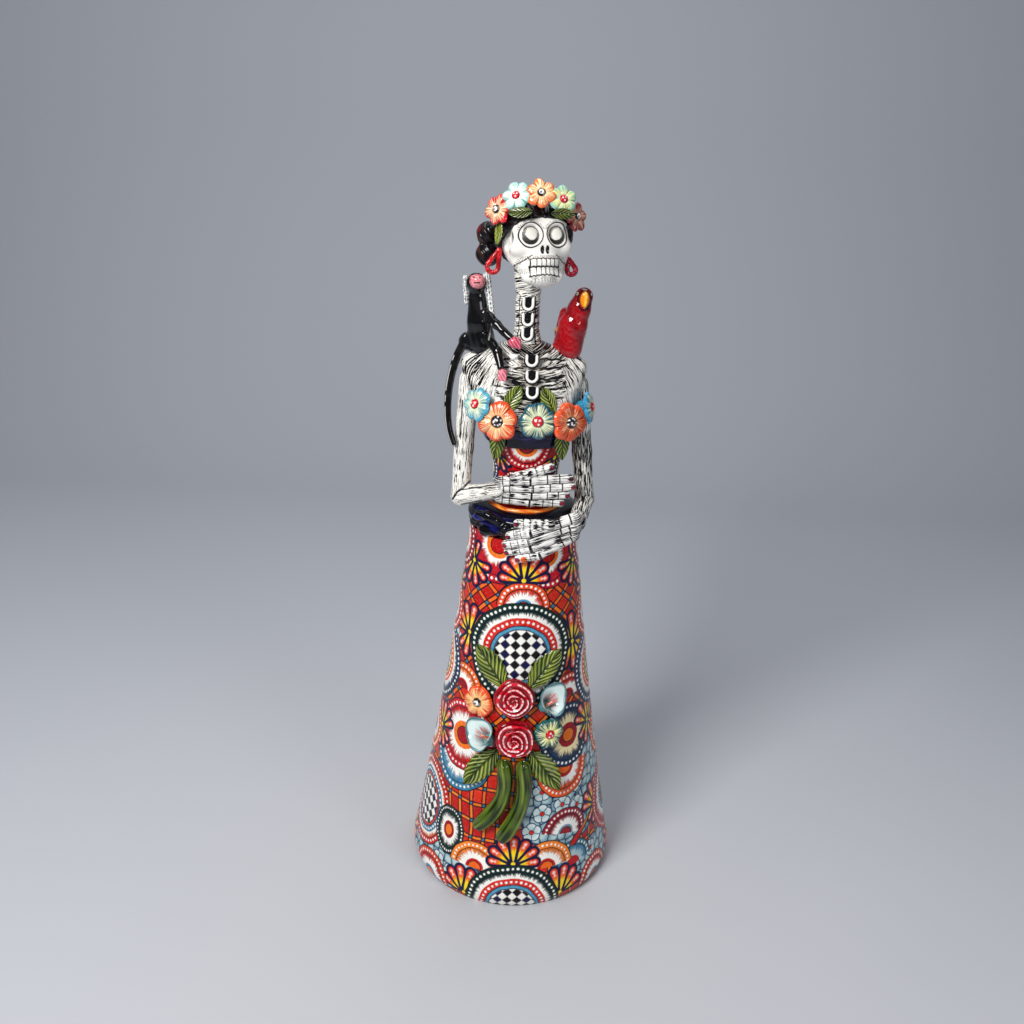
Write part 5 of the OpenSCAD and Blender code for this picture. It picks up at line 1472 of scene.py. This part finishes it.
def skull_piece():
    h = 0.72
    Q, F = surface_nets(skull_f, (-40.5, -43, -60), (40.5, 40, 40), h)
    Nn = normals_of(skull_f, Q)
    C = np.tile(lin(240, 237, 230), (len(Q), 1))
    x, y, z = Q.T
    front = (y < -12)
    for s, c in zip((-1, 1), SOCK):
        ex = (x - c[0]) / 10.8; ez = (z - c[2]) / 11.4
        e = np.hypot(ex, ez)
        C = mixc(C, BLACK, (1 - ss(0.045, 0.10, np.abs(e - 1.14))) * front)
        C = mixc(C, BLACK, (1 - ss(0.02, 0.07, np.abs(e - 0.84))) * front * 0.85)
        # dark crescent in the low outer part of the socket
        cr = (e < 0.84) & (np.hypot(ex - 0.10 * -s, ez - 0.16) > 0.60)
        C = mixc(C, BLACK, (cr & front & ((ez < 0.25) | (s * ex > 0.3))).astype(float) * 0.96)
        # grey in the upper part of each socket, under its rim: painted shade
        C = mixc(C, lin(196, 190, 178), 0.45 * (e < 0.8) * front * ss(-0.6, 0.6, ez))
        lash = (e > 1.22) & (e < 1.42) & (z > c[2] + 6) & front
        th = np.arctan2(ez, ex)
        C = mixc(C, BLACK, lash * (np.abs(((th * 9) % 1) - 0.5) < 0.17) * 0.85)
    for s in (-1, 1):
        e = np.hypot((x - s * 2.9) / 2.1, (z + 19) / 4.6)
        C = mixc(C, BLACK, (1 - ss(0.9, 1.1, e)) * (y < -28))
        # temple mark
        e = np.hypot((y + 19.5 - 0.012 * (z + 7) ** 2) / 3.6, (z + 7) / 11.5) + 6 * (s * x < 24)
        C = mixc(C, BLACK, 1 - ss(0.9, 1.05, e))
        # cheek line and short strokes at the hinge of the jaw
        lx = s * x
        curve = -24.5 - 0.62 * (lx - 15) + 0.010 * (lx - 15) ** 2
        C = mixc(C, BLACK, (1 - ss(0.45, 0.95, np.abs(z - curve))) * (lx > 13) * (lx < 31) * (y < 0))
        ang = np.arctan2(z + 33, lx - 20)
        rr = np.hypot(z + 33, lx - 20)
        C = mixc(C, BLACK, ((np.abs(((ang * 5.2) % 1) - 0.5) < 0.16) & (rr > 4.2) & (rr < 9.8) & (y < 2) & (y > -33) & (lx > 15) & (z < -24)) * 0.9)
    # mouth: three level lines, the upright ones between the teeth
    jag = 0.35 * np.sin(x * 1.35)
    inm = (np.abs(x) < 17.5) & (y < -22)
    for zc, w in ((-28.8, 0.42), (-37.0, 0.55), (-45.3, 0.5)):
        C = mixc(C, BLACK, (1 - ss(w, w + 0.5, np.abs(z - zc - jag + 0.004 * x * x * (1 if zc < -40 else -1)))) * inm)
    u = np.arctan2(x, 24) * 24
    cell = np.abs(((u / 4.7) % 1) - 0.5) * 4.7
    C = mixc(C, BLACK, (1 - ss(0.25, 0.62, 2.35 - cell)) * inm * (z > -45.3) * (z < -28.8))
    # upright strokes over and under the rows of teeth
    fine = np.abs(((u / 1.55 + 0.3 * np.sin(z * 2)) % 1) - 0.5) < 0.17
    C = mixc(C, BLACK, (fine & (np.abs(x) < 14.5) & (y < -22) & (((z > -28.4) & (z < -25.2 + 1.4 * np.sin(u * 3))) | ((z < -46.2) & (z > -51 + 2 * np.sin(u * 2))))) * 0.85)
    C = mixc(C, lin(120, 108, 96), 0.30 * (np.abs(z + 26.5) < 2.0) * (np.abs(x) < 13) * (y < -25))
    # brow mark
    C = mixc(C, BLACK, (1 - ss(0.5, 1.0, np.abs(z - 16.5 + 0.012 * x * x))) * (np.abs(x) < 12) * (y < -20))
    a = np.arctan2(x, -y) * 36
    fl = np.stack([a, z, np.where(y > -10, 0.34, np.where(z < -48, 0.30, -0.6))], 1)
    V = from_head(Q)
    mesh_obj("skull_piece", V, F, m_bone, "head", ("skull",), paint=C, flow=fl)


skull_piece()

m_hair = glaze("hair_glaze_look", rough=0.22, coat=0.15, vary=0.35, spec=0.25)


def hair_piece():
    pn = np.array([0, math.sin(math.radians(28)), math.cos(math.radians(28))])

    def f(Q):
        th = np.arctan2(Q[:, 0], Q[:, 2] + 12)
        comb = 0.35 * np.sin(th * 30 + Q[:, 1] * 0.12) + 0.2 * np.sin(th * 57 - Q[:, 1] * 0.1)
        part = 1.2 * np.exp(-(Q[:, 0] / 1.6) ** 2) * (Q[:, 1] < 20)
        d = sph(Q, (0, 2, 1), 42.6) - comb + part
        cut = -((Q - np.array([0, -38, 17])) @ pn) - 0.6 * np.sin(Q[:, 0] * 0.7)
        inner = -(sph(Q, (0, 0, 0), 36.5))
        return smax(smax(d, cut, 1.6), inner, 1.0)
    h = 0.8
    Q, F = surface_nets(f, (-46, -44, -32), (46, 48, 47), h, project=1)
    th = np.arctan2(Q[:, 0], Q[:, 2] + 12)
    comb = np.sin(th * 30 + Q[:, 1] * 0.12)
    # brownish on the raised combed ridges: painted highlights
    C = mixc(lin(12, 11, 13), lin(44, 30, 30), 0.6 * ss(0.5, 1, comb))
    mesh_obj("hair", from_head(Q), F, m_hair, "head", ("hair_cap",), paint=C)

    def g(P):
        a, b = sph(P, (-54, 27, 836), 13.6), sph(P, (-54, 27, 814), 13.9)
        d = smin(a, b, 2.5)
        q = P - np.array([-54, 27, 825])
        an = np.arctan2(q[:, 1] + 0 * q[:, 0], q[:, 0])
        return d - 0.5 * np.sin(an * 6 + q[:, 2] * 0.45) - 0.25 * np.sin(an * 14 + q[:, 2] * 0.9)
    V, F = surface_nets(g, (-71, 10, 797), (-37, 44, 853), h, project=1)
    q = V - np.array([-54, 27, 825]); an = np.arctan2(q[:, 1], q[:, 0])
    w = np.sin(an * 6 + q[:, 2] * 0.45)
    # brown on the ridges of the outer side of the bun: painted highlights
    C = mixc(lin(16, 12, 14), lin(92, 44, 34), 0.75 * ss(0.45, 1, w) * ss(-2, -10, q[:, 0]))
    C = mixc(C, lin(120, 30, 40), 0.7 * (1 - ss(3, 6, np.linalg.norm(V - np.array([-66, 22, 842]), axis=1))))
    mesh_obj("bun", V, F, m_hair, "head", ("hair_bun",), paint=C)


hair_piece()

crown = [((-42, -22, 868), (-0.55, -0.8, 0.25), lin(222, 44, 56), lin(250, 196, 160), STRAW, "white", "pink_petal_glaze"),
         ((-22, -27, 883), (-0.3, -0.85, 0.45), lin(160, 216, 206), lin(240, 244, 232), lin(250, 250, 240), "red", "mint_petal_glaze"),
         ((4, -30, 887), (0.05, -0.87, 0.5), lin(240, 118, 60), lin(250, 200, 150), STRAW, "white", "coral_petal_glaze"),
         ((27, -26, 881), (0.35, -0.83, 0.42), lin(150, 204, 186), lin(236, 240, 200), lin(244, 236, 130), "red", "mint_petal_glaze"),
         ((42, -16, 863), (0.7, -0.65, 0.3), lin(150, 40, 52), lin(214, 140, 120), lin(236, 190, 150), "white", "pink_petal_glaze")]
eyes = []
for k, (p, nrm, rim, mid, stk, eye, slot) in enumerate(crown):
    fr = frame_at(p, nrm)
    put_parts("crown_flower_%d_bloom" % (k + 1), [blossom(fr, 33.5, 6, 5, rim, mid, stk, back=9 if k == 4 else 14, seed=k + 2, pointy=0.24)], m_gloss, "head", ("crown_flower_%d" % (k + 1),))
    eyes.append(eye_dome(up_by(fr, 3.2), 4.7, 0.2, eye, seed=k + 1))
put_parts("crown_eyes", eyes, m_gloss, "head", ("crown_flower_centres",))
crl = []
for p, nrm, a, l, w, hue in (((-4, -43, 869), (-0.15, -0.85, 0.5), 97, 27, 13, -0.45), ((15, -42, 868), (0.25, -0.85, 0.5), -92, 27, 13, -0.5), ((-39, -18, 857), (-0.75, -0.6, 0.2), 190, 27, 13, 0.2)):
    crl.append(leaf(frame_at(p, nrm), l, w, 3, rot=math.radians(a), bend=1.2, seed=a, veins=6, hue=hue))
put_parts("crown_leaf_set", crl, m_leaf, "head", ("crown_leaves",))


def earring(name, top, ctr, r, tube_r, base, node):
    top, ctr = np.array(top, float), np.array(ctr, float)
    ax = top - ctr; L = np.linalg.norm(ax); u = ax / L
    v = np.cross(u, [0, -1, 0]); v /= np.linalg.norm(v)
    a0 = math.acos(r / L)
    arc = np.linspace(a0, 2 * pi - a0, 60)
    P = [ctr + r * (math.cos(a) * u + math.sin(a) * v) for a in arc]
    lin1 = [P[-1] + (top - P[-1]) * t for t in np.linspace(0, 1, 14)[1:]]
    lin2 = [top + (P[0] - top) * t for t in np.linspace(0, 1, 14)[1:-1]]
    P = np.array(P + lin1 + lin2)
    for _ in range(2): P = (np.roll(P, 1, 0) + 2 * P + np.roll(P, -1, 0)) / 4
    m, n = len(P), 22
    T = np.roll(P, -1, 0) - np.roll(P, 1, 0); T /= np.linalg.norm(T, axis=1)[:, None]
    Bn = np.array([0, 1.0, 0]) - T * T[:, 1:2]; Bn /= np.linalg.norm(Bn, axis=1)[:, None]
    Nn = np.cross(T, Bn)
    th = np.linspace(0, 2 * pi, n, endpoint=False)
    rr = tube_r * (1 + 0.05 * np.sin(np.arange(m) * 0.9))
    V = P[:, None] + rr[:, None, None] * (np.cos(th)[None, :, None] * Nn[:, None] + np.sin(th)[None, :, None] * Bn[:, None])
    F = grid_faces(m, n, wrap_u=True, wrap_v=True, flip=True)
    C = mixc(np.tile(base, (m * n, 1)), base * 0.45, 0.5 + 0.5 * np.sin(np.repeat(np.arange(m), n) * 0.4))
    mesh_obj(name, V.reshape(-1, 3), F, m_gloss, "head", (node,), paint=C)


earring("right_earring_loop", (-39, -14, 826), (-46.5, -15, 806), 6.2, 2.7, lin(216, 34, 40), "right_earring")
earring("left_earring_loop", (37, -14, 818), (41, -17, 806), 4.8, 2.9, lin(168, 20, 44), "left_earring")


# ------------------------------------------------------------------ monkey
hm = 0.8


def monkey():
    body = [(-58, 3, 716), (-61, 0, 742), (-64, -2, 770)]
    arm1 = [(-52, -8, 752), (-40, -22, 743), (-22, -36, 730)]
    arm2 = [(-50, -16, 726), (-38, -36, 716), (-33, -46, 700)]

    def f(P):
        d = chain_sdf(P, body, 17, 9.8, 5)
        d = smin(d, sph(P, (-65, -3, 785), 11.6), 4)
        d = smin(d, chain_sdf(P, arm1, 5.8, 4.4, 2), 3.5)
        d = smin(d, chain_sdf(P, arm2, 6.4, 4.3, 2), 3.5)
        d = smin(d, ell(P, (-74, 8, 716), (11, 12, 11)), 5)
        for c in ((-76, 1, 784), (-54, 1, 786)):
            d = smin(d, ell(P, c, (2.8, 2.2, 4.0)), 1.2)
        q = 0.25 * np.sin(P[:, 2] * 0.21 + P[:, 0] * 0.3) * np.sin(P[:, 0] * 0.4 - P[:, 1] * 0.3)
        return d + q
    V, F = surface_nets(f, (-90, -54, 694), (-12, 24, 800), hm, project=1)
    C = mixc(lin(10, 10, 12), lin(34, 31, 33), ss(0.3, 1.0, np.sin(V[:, 2] * 0.11 + V[:, 0] * 0.16) * np.sin(V[:, 1] * 0.2 + 1)) * 0.5)
    k = np.hypot(V[:, 0] + 47 - (V[:, 2] - 735) * 0.15, 0) + 3 * (V[:, 1] > -6)
    C = mixc(C, lin(206, 204, 200), (1 - ss(0.4, 1.0, k)) * (V[:, 2] < 744) * (V[:, 2] > 726) * 0.6)
    mesh_obj("monkey_black", V, F, m_black, "figure", ("monkey_body", "monkey_head", "monkey_arms"), paint=C)

    fc = np.array([-63.5, -11, 788.5])

    def g(P):
        d = ell(P, fc, (9.0, 8.6, 8.4))
        d = smin(d, ell(P, fc + np.array([0.4, -5.6, 1.8]), (5.2, 4.0, 4.4)), 3)
        for s in (-1, 1):
            d = smax(d, -sph(P, fc + np.array([s * 3.6, -7.4, 6.0]), 1.5), 0.8)
            d = smin(d, ell(P, fc + np.array([s * 5.2, -3.8, 4.2]), (3, 3, 3)), 2)
        d = smax(d, -seg(P, fc + np.array([-3.2, -9.4, -0.2]), fc + np.array([3.4, -9.4, 0.3]), 0.55), 0.5)
        return d
    V, F = surface_nets(g, fc - 14, fc + 14, 0.45)
    q = V - fc
    C = mixc(np.tile(lin(222, 120, 130), (len(V), 1)), lin(246, 186, 186), ss(0.2, 0.9, hash1(np.floor(q[:, 0] * 0.9) + 5 * np.floor(q[:, 2] * 0.8))) * 0.6)
    C = mixc(C, lin(180, 66, 80), 0.6 * ss(5, 8.5, np.hypot(q[:, 0], q[:, 2])))
    C = mixc(C, BLACK, (1 - ss(0.5, 1.0, np.abs(q[:, 2] - 0.05 - 0.05 * q[:, 0]))) * (np.abs(q[:, 0]) < 3.6) * (q[:, 1] < -6))
    for s in (-1, 1):
        C = mixc(C, BLACK, 1 - ss(0.9, 1.5, np.linalg.norm(q - np.array([s * 3.6, -7.0, 5.8]), axis=1)))
        C = mixc(C, BLACK, 1 - ss(0.35, 0.7, np.linalg.norm((q - np.array([s * 1.2, -9.3, 3.4])), axis=1)))
    mesh_obj("monkey_face_piece", V, F, m_gloss, "figure", ("monkey_face",), paint=C)

    def mane(P):
        d = chain_sdf(P, [(-53.5, -4, 794), (-50, -6, 776), (-46, -9, 752)], 4.0, 3.0, 1)
        d = np.minimum(d, chain_sdf(P, [(-78, 0, 790), (-77, 1, 776), (-76, 2, 762)], 3.1, 2.4, 1))
        return d + 0.45 * np.sin(P[:, 2] * 1.5 + P[:, 0] * 2) * np.sin(P[:, 0] * 2.2 + P[:, 1] * 1.4)
    V, F = surface_nets(mane, (-84, -13, 750), (-39, 7, 798), 0.55, project=1)
    st = np.sin(V[:, 0] * 2.4 + V[:, 2] * 0.35) + 0.6 * np.sin(V[:, 1] * 3 + V[:, 2] * 0.8)
    C = mixc(lin(232, 232, 230), lin(56, 56, 60), ss(0.35, 0.9, st))
    mesh_obj("monkey_mane_piece", V, F, m_gloss, "figure", ("monkey_mane",), paint=C)

    def paws(P):
        a = np.array([-18.5, -37.5, 727.0]); b = np.array([-31, -49, 693.0])
        d = ell(P, a, (7.6, 5.4, 6.8))
        for k in range(4):
            d = smin(d, seg(P, a + np.array([1, -2.5, 3 - 2.2 * k]), a + np.array([5.6, -3.6, 0.5 - 2.0 * k]), 1.5), 0.8)
        e = ell(P, b, (5.4, 5.0, 6.4))
        for k in range(4):
            e = smin(e, seg(P, b + np.array([-3.6 + 2.4 * k, -3, -1]), b + np.array([-3.2 + 2.2 * k, -4, -5.6]), 1.5), 0.8)
        return np.minimum(d, e)
    V, F = surface_nets(paws, (-40, -58, 682), (-8, -28, 738), 0.5)
    C = mixc(np.tile(lin(196, 66, 92), (len(V), 1)), lin(240, 170, 178), ss(0.3, 0.9, np.sin(V[:, 0] * 1.6 + V[:, 2] * 1.1)) * 0.6 + 0.25 * (V[:, 2] < 710))
    mesh_obj("monkey_paw_pair", V, F, m_gloss, "figure", ("monkey_paws",), paint=C)

    tp = np.array([(-76, 4, 722), (-80, 2, 712), (-85.5, 0, 701), (-89, -2, 690), (-92, -4, 678), (-94, -6, 666), (-95.2, -8, 654), (-95.5, -10, 642), (-95, -12, 630), (-93.5, -14, 618),
                   (-91, -16.5, 608), (-87.5, -18.5, 599)], float)
    V, F, caps, S, TH = round_tube(tp, np.linspace(5.2, 3.8, len(tp)), n=40, m=70, closed_ends=8)
    V = V + 0.0
    C = mixc(lin(11, 11, 13), lin(34, 30, 32), 0.4 * ss(0.2, 1, np.sin(S * 0.35)))
    dash = (1 - ss(0.12, 0.24, np.abs(np.angle(np.exp(1j * (TH - 0.9)))))) * (hash1(np.floor(S / 6)) > 0.35) * (S > 12)
    C = mixc(C, lin(214, 212, 206), dash * 0.85)
    mesh_obj("monkey_tail_piece", V, tri_fix(np.concatenate([F, caps])), m_black, "figure", ("monkey_tail",), paint=C)


monkey()


# ------------------------------------------------------------------ parrot
def parrot():
    bk = np.array([58, -13, 777.0])

    def f(P):
        d = chain_sdf(P, [(42, 1, 715), (47, 0, 741)], 17.5, 16.2, 4)
        d = smin(d, chain_sdf(P, [(47.5, -0.5, 742), (53, -2, 760), (57.5, -4, 775)], 15, 10.5, 4), 5)
        return d + 0.12 * np.sin(P[:, 2] * 0.9) * np.sin(np.arctan2(P[:, 0] - 48, -P[:, 1]) * 7)

    def w(P):
        d = np.minimum(chain_sdf(P, [(39, 7, 752), (34, 11, 730), (33, 17, 708)], 8.2, 5, 3), chain_sdf(P, [(57, 8, 752), (56, 12, 730), (54, 17, 708)], 8.2, 5, 3))
        ph = (P[:, 2] * 0.11 + np.abs(np.sin(P[:, 1] * 0.25)) * 0.6) % 1
        return d - 0.5 * ph * ss(752, 744, P[:, 2])
    V, F = surface_nets(f, (22, -20, 694), (72, 22, 790), hm, project=1)
    C = np.tile(lin(164, 8, 20), (len(V), 1))
    C = mixc(C, lin(120, 6, 16), 0.6 * ss(0.1, 1, np.sin(V[:, 2] * 0.12 + V[:, 0] * 0.25 + 1)))
    e = np.hypot((V[:, 0] - 58) / 7.6, (V[:, 2] - 773) / 11.5)
    face = V[:, 1] < -6
    C = mixc(C, lin(60, 6, 12), (1 - ss(0.08, 0.16, np.abs(e - 1.0))) * face)
    for s in (-1, 1):
        q = np.linalg.norm(V - np.array([58 + s * 8.4, -9.5, 779]), axis=1)
        C = mixc(C, BLACK, 1 - ss(2.2, 2.8, q)); C = mixc(C, lin(250, 236, 200), 1 - ss(1.4, 1.9, q)); C = mixc(C, BLACK, 1 - ss(0.7, 1.0, q))
    z0 = V[:, 2]
    # darker at the bottom of the body, where it sits on the shoulder: painted shade
    C = mixc(C, lin(60, 8, 12), 0.7 * (1 - ss(702, 706, z0)))
    mesh_obj("parrot_red", V, F, m_black_red, "figure", ("parrot_body",), paint=C)
    V, F = surface_nets(w, (17, -5, 700), (70, 22, 762), hm, project=1)
    ph = (V[:, 2] * 0.11 + np.abs(np.sin(V[:, 1] * 0.25)) * 0.6) % 1
    C = mixc(lin(176, 14, 26), lin(20, 50, 120), ss(733, 718, V[:, 2]) * 0.9)
    C = mixc(C, lin(236, 170, 40), 0.9 * (np.abs(V[:, 2] - 734) < 3))
    C = mixc(C, lin(30, 6, 10), 0.8 * (1 - ss(0.05, 0.15, ph)) * ss(752, 744, V[:, 2]))
    mesh_obj("parrot_wing_pair", V, F, m_black_red, "figure", ("parrot_wings",), paint=C)

    def b(P):
        d = ell(P, bk + np.array([0, -0.2, -3.2]), (5.6, 4.6, 9.6))
        d = smin(d, ell(P, bk + np.array([0, -2.4, -8.5]), (3.4, 3.4, 4.2)), 1.5)
        return smax(d, -seg(P, bk + np.array([-6, -4.6, -9]), bk + np.array([6, -4.6, -9]), 0.35), 0.3)
    V, F = surface_nets(b, bk - np.array([9, 9, 20]), bk + np.array([9, 8, 9]), 0.45)
    q = V - bk
    C = mixc(lin(238, 138, 24), lin(252, 194, 60), ss(0.0, 0.8, np.sin(q[:, 0] * 0.8 + 0.8)))
    e = np.hypot(q[:, 0] / 5.7, (q[:, 2] + 3.4) / 9.9)
    C = mixc(C, lin(70, 20, 10), ss(0.84, 0.93, e) * (q[:, 1] < 2))
    mesh_obj("parrot_beak_piece", V, F, m_gloss, "figure", ("parrot_beak",), paint=C)


m_black_red = glaze("red_glaze_look", rough=0.07, coat=0.55, vary=0.15, spec=0.35)
parrot()


# spigot that goes into the socket: unglazed turned clay
def spigot():
    n = 90
    prof = [(6.0, 672.5), (11.2, 672.4), (11.9, 673.2)] + [(11.95 + 0.05 * math.sin(z * 2.1), z) for z in np.linspace(674, 721, 60)] + [(11.9, 722.2), (6.0, 722.2)]
    prof += [(6.0, z) for z in np.linspace(720, 674, 12)]
    m = len(prof)
    th = np.linspace(0, 2 * pi, n, endpoint=False)
    V = np.array([[-6 + r * math.sin(a), -8 - r * math.cos(a), z] for a in th for r, z in prof])
    F = grid_faces(n, m, wrap_u=True, wrap_v=True, flip=False)
    mesh_obj("spigot", V, F, m_clay, "neck_spigot", ("neck_spigot",))


spigot()


# ------------------------------------------------------------------ floor, light and camera
def stage():
    mat = bpy.data.materials.new("floor_paper")
    nt, N, L = nodes_of(mat)
    b = N["Principled BSDF"]; b.inputs["Roughness"].default_value = 0.85
    tc = N.new("ShaderNodeTexCoord")
    no = N.new("ShaderNodeTexNoise"); no.inputs["Scale"].default_value = 1.6; no.inputs["Detail"].default_value = 2
    L.new(tc.outputs["Object"], no.inputs["Vector"])
    r = N.new("ShaderNodeValToRGB"); r.color_ramp.elements[0].color = (*lin(186, 189, 195), 1); r.color_ramp.elements[1].color = (*lin(196, 198, 203), 1)
    L.new(no.outputs["Fac"], r.inputs["Fac"])
    # floor a little paler near the figure than further away: a painted pool of light
    dv = N.new("ShaderNodeVectorMath"); dv.operation = "DISTANCE"; dv.inputs[1].default_value = (0.1, -0.5, 0.0); L.new(tc.outputs["Object"], dv.inputs[0])
    mr = N.new("ShaderNodeMapRange"); mr.interpolation_type = "SMOOTHSTEP"
    mr.inputs["From Min"].default_value = 0.35; mr.inputs["From Max"].default_value = 1.7; L.new(dv.outputs["Value"], mr.inputs["Value"])
    mx = N.new("ShaderNodeMix"); mx.data_type = "RGBA"; L.new(mr.outputs["Result"], mx.inputs["Factor"]); L.new(r.outputs["Color"], mx.inputs["A"])
    mx.inputs["B"].default_value = (*lin(184, 188, 196), 1)
    L.new(mx.outputs["Result"], b.inputs["Base Color"])
    x = np.linspace(-4.4, 4.4, 13)
    prof = [(-5.0, 0.0), (-1.9, 0.0), (0.5, 0.0), (1.3, 0.0)] + [(1.3 + 0.9 * math.sin(t), 0.9 - 0.9 * math.cos(t)) for t in np.linspace(0.1, pi / 2, 14)] + [(2.2, 1.6), (2.2, 3.4)]
    V = [(a, y, z - 0.0002) for a in x for y, z in prof]
    me = bpy.data.meshes.new("studio_sweep")
    me.from_pydata(V, [], grid_faces(len(x), len(prof)).tolist()); me.update()
    me.polygons.foreach_set("use_smooth", [True] * len(me.polygons))
    me.materials.append(mat)
    floor = bpy.data.objects.new("studio_sweep", me)
    bpy.context.scene.collection.objects.link(floor)

    def area(name, loc, target, size, energy, col, sy=None):
        li = bpy.data.lights.new(name, "AREA"); li.energy = energy; li.color = col
        li.shape = "RECTANGLE"; li.size = size; li.size_y = sy or size
        ob = bpy.data.objects.new(name, li); ob.location = loc
        ob.rotation_euler = (Vector(target) - Vector(loc)).to_track_quat("-Z", "Y").to_euler()
        bpy.context.scene.collection.objects.link(ob)
    area("key_softbox", (-1.1, -1.5, 1.95), (0, 0, 0.5), 0.9, 60, (1.0, 0.99, 0.97))
    area("fill_softbox", (1.5, -1.5, 1.1), (0, 0, 0.5), 0.7, 8.5, (0.96, 0.98, 1.0))
    area("top_softbox", (0.1, 0.5, 2.3), (0, 0.1, 0.4), 1.3, 13, (0.97, 0.98, 1.0))
    w = bpy.data.worlds.new("studio_air"); bpy.context.scene.world = w
    w.use_nodes = True
    bg = w.node_tree.nodes["Background"]; bg.inputs["Color"].default_value = (*lin(206, 210, 220), 1); bg.inputs["Strength"].default_value = 0.20
    cd = bpy.data.cameras.new("photo_camera"); cd.sensor_width = 36; cd.lens = 35.156; cd.clip_start = 0.01
    cam = bpy.data.objects.new("photo_camera", cd)
    bpy.context.scene.collection.objects.link(cam)
    X = Vector((0.99902, 0.02746, 0.03446)); Zc = Vector((0.01208, -0.92280, 0.38510)); Zc.normalize()
    X = (X - Zc * X.dot(Zc)).normalized(); Y = Zc.cross(X)
    M = Matrix((X, Y, Zc)).transposed().to_4x4(); M.translation = Vector((0, -1.14665, 0.98365))
    cam.matrix_world = M
    bpy.context.scene.camera = cam
    bpy.context.scene.view_settings.view_transform = "Standard"


stage()
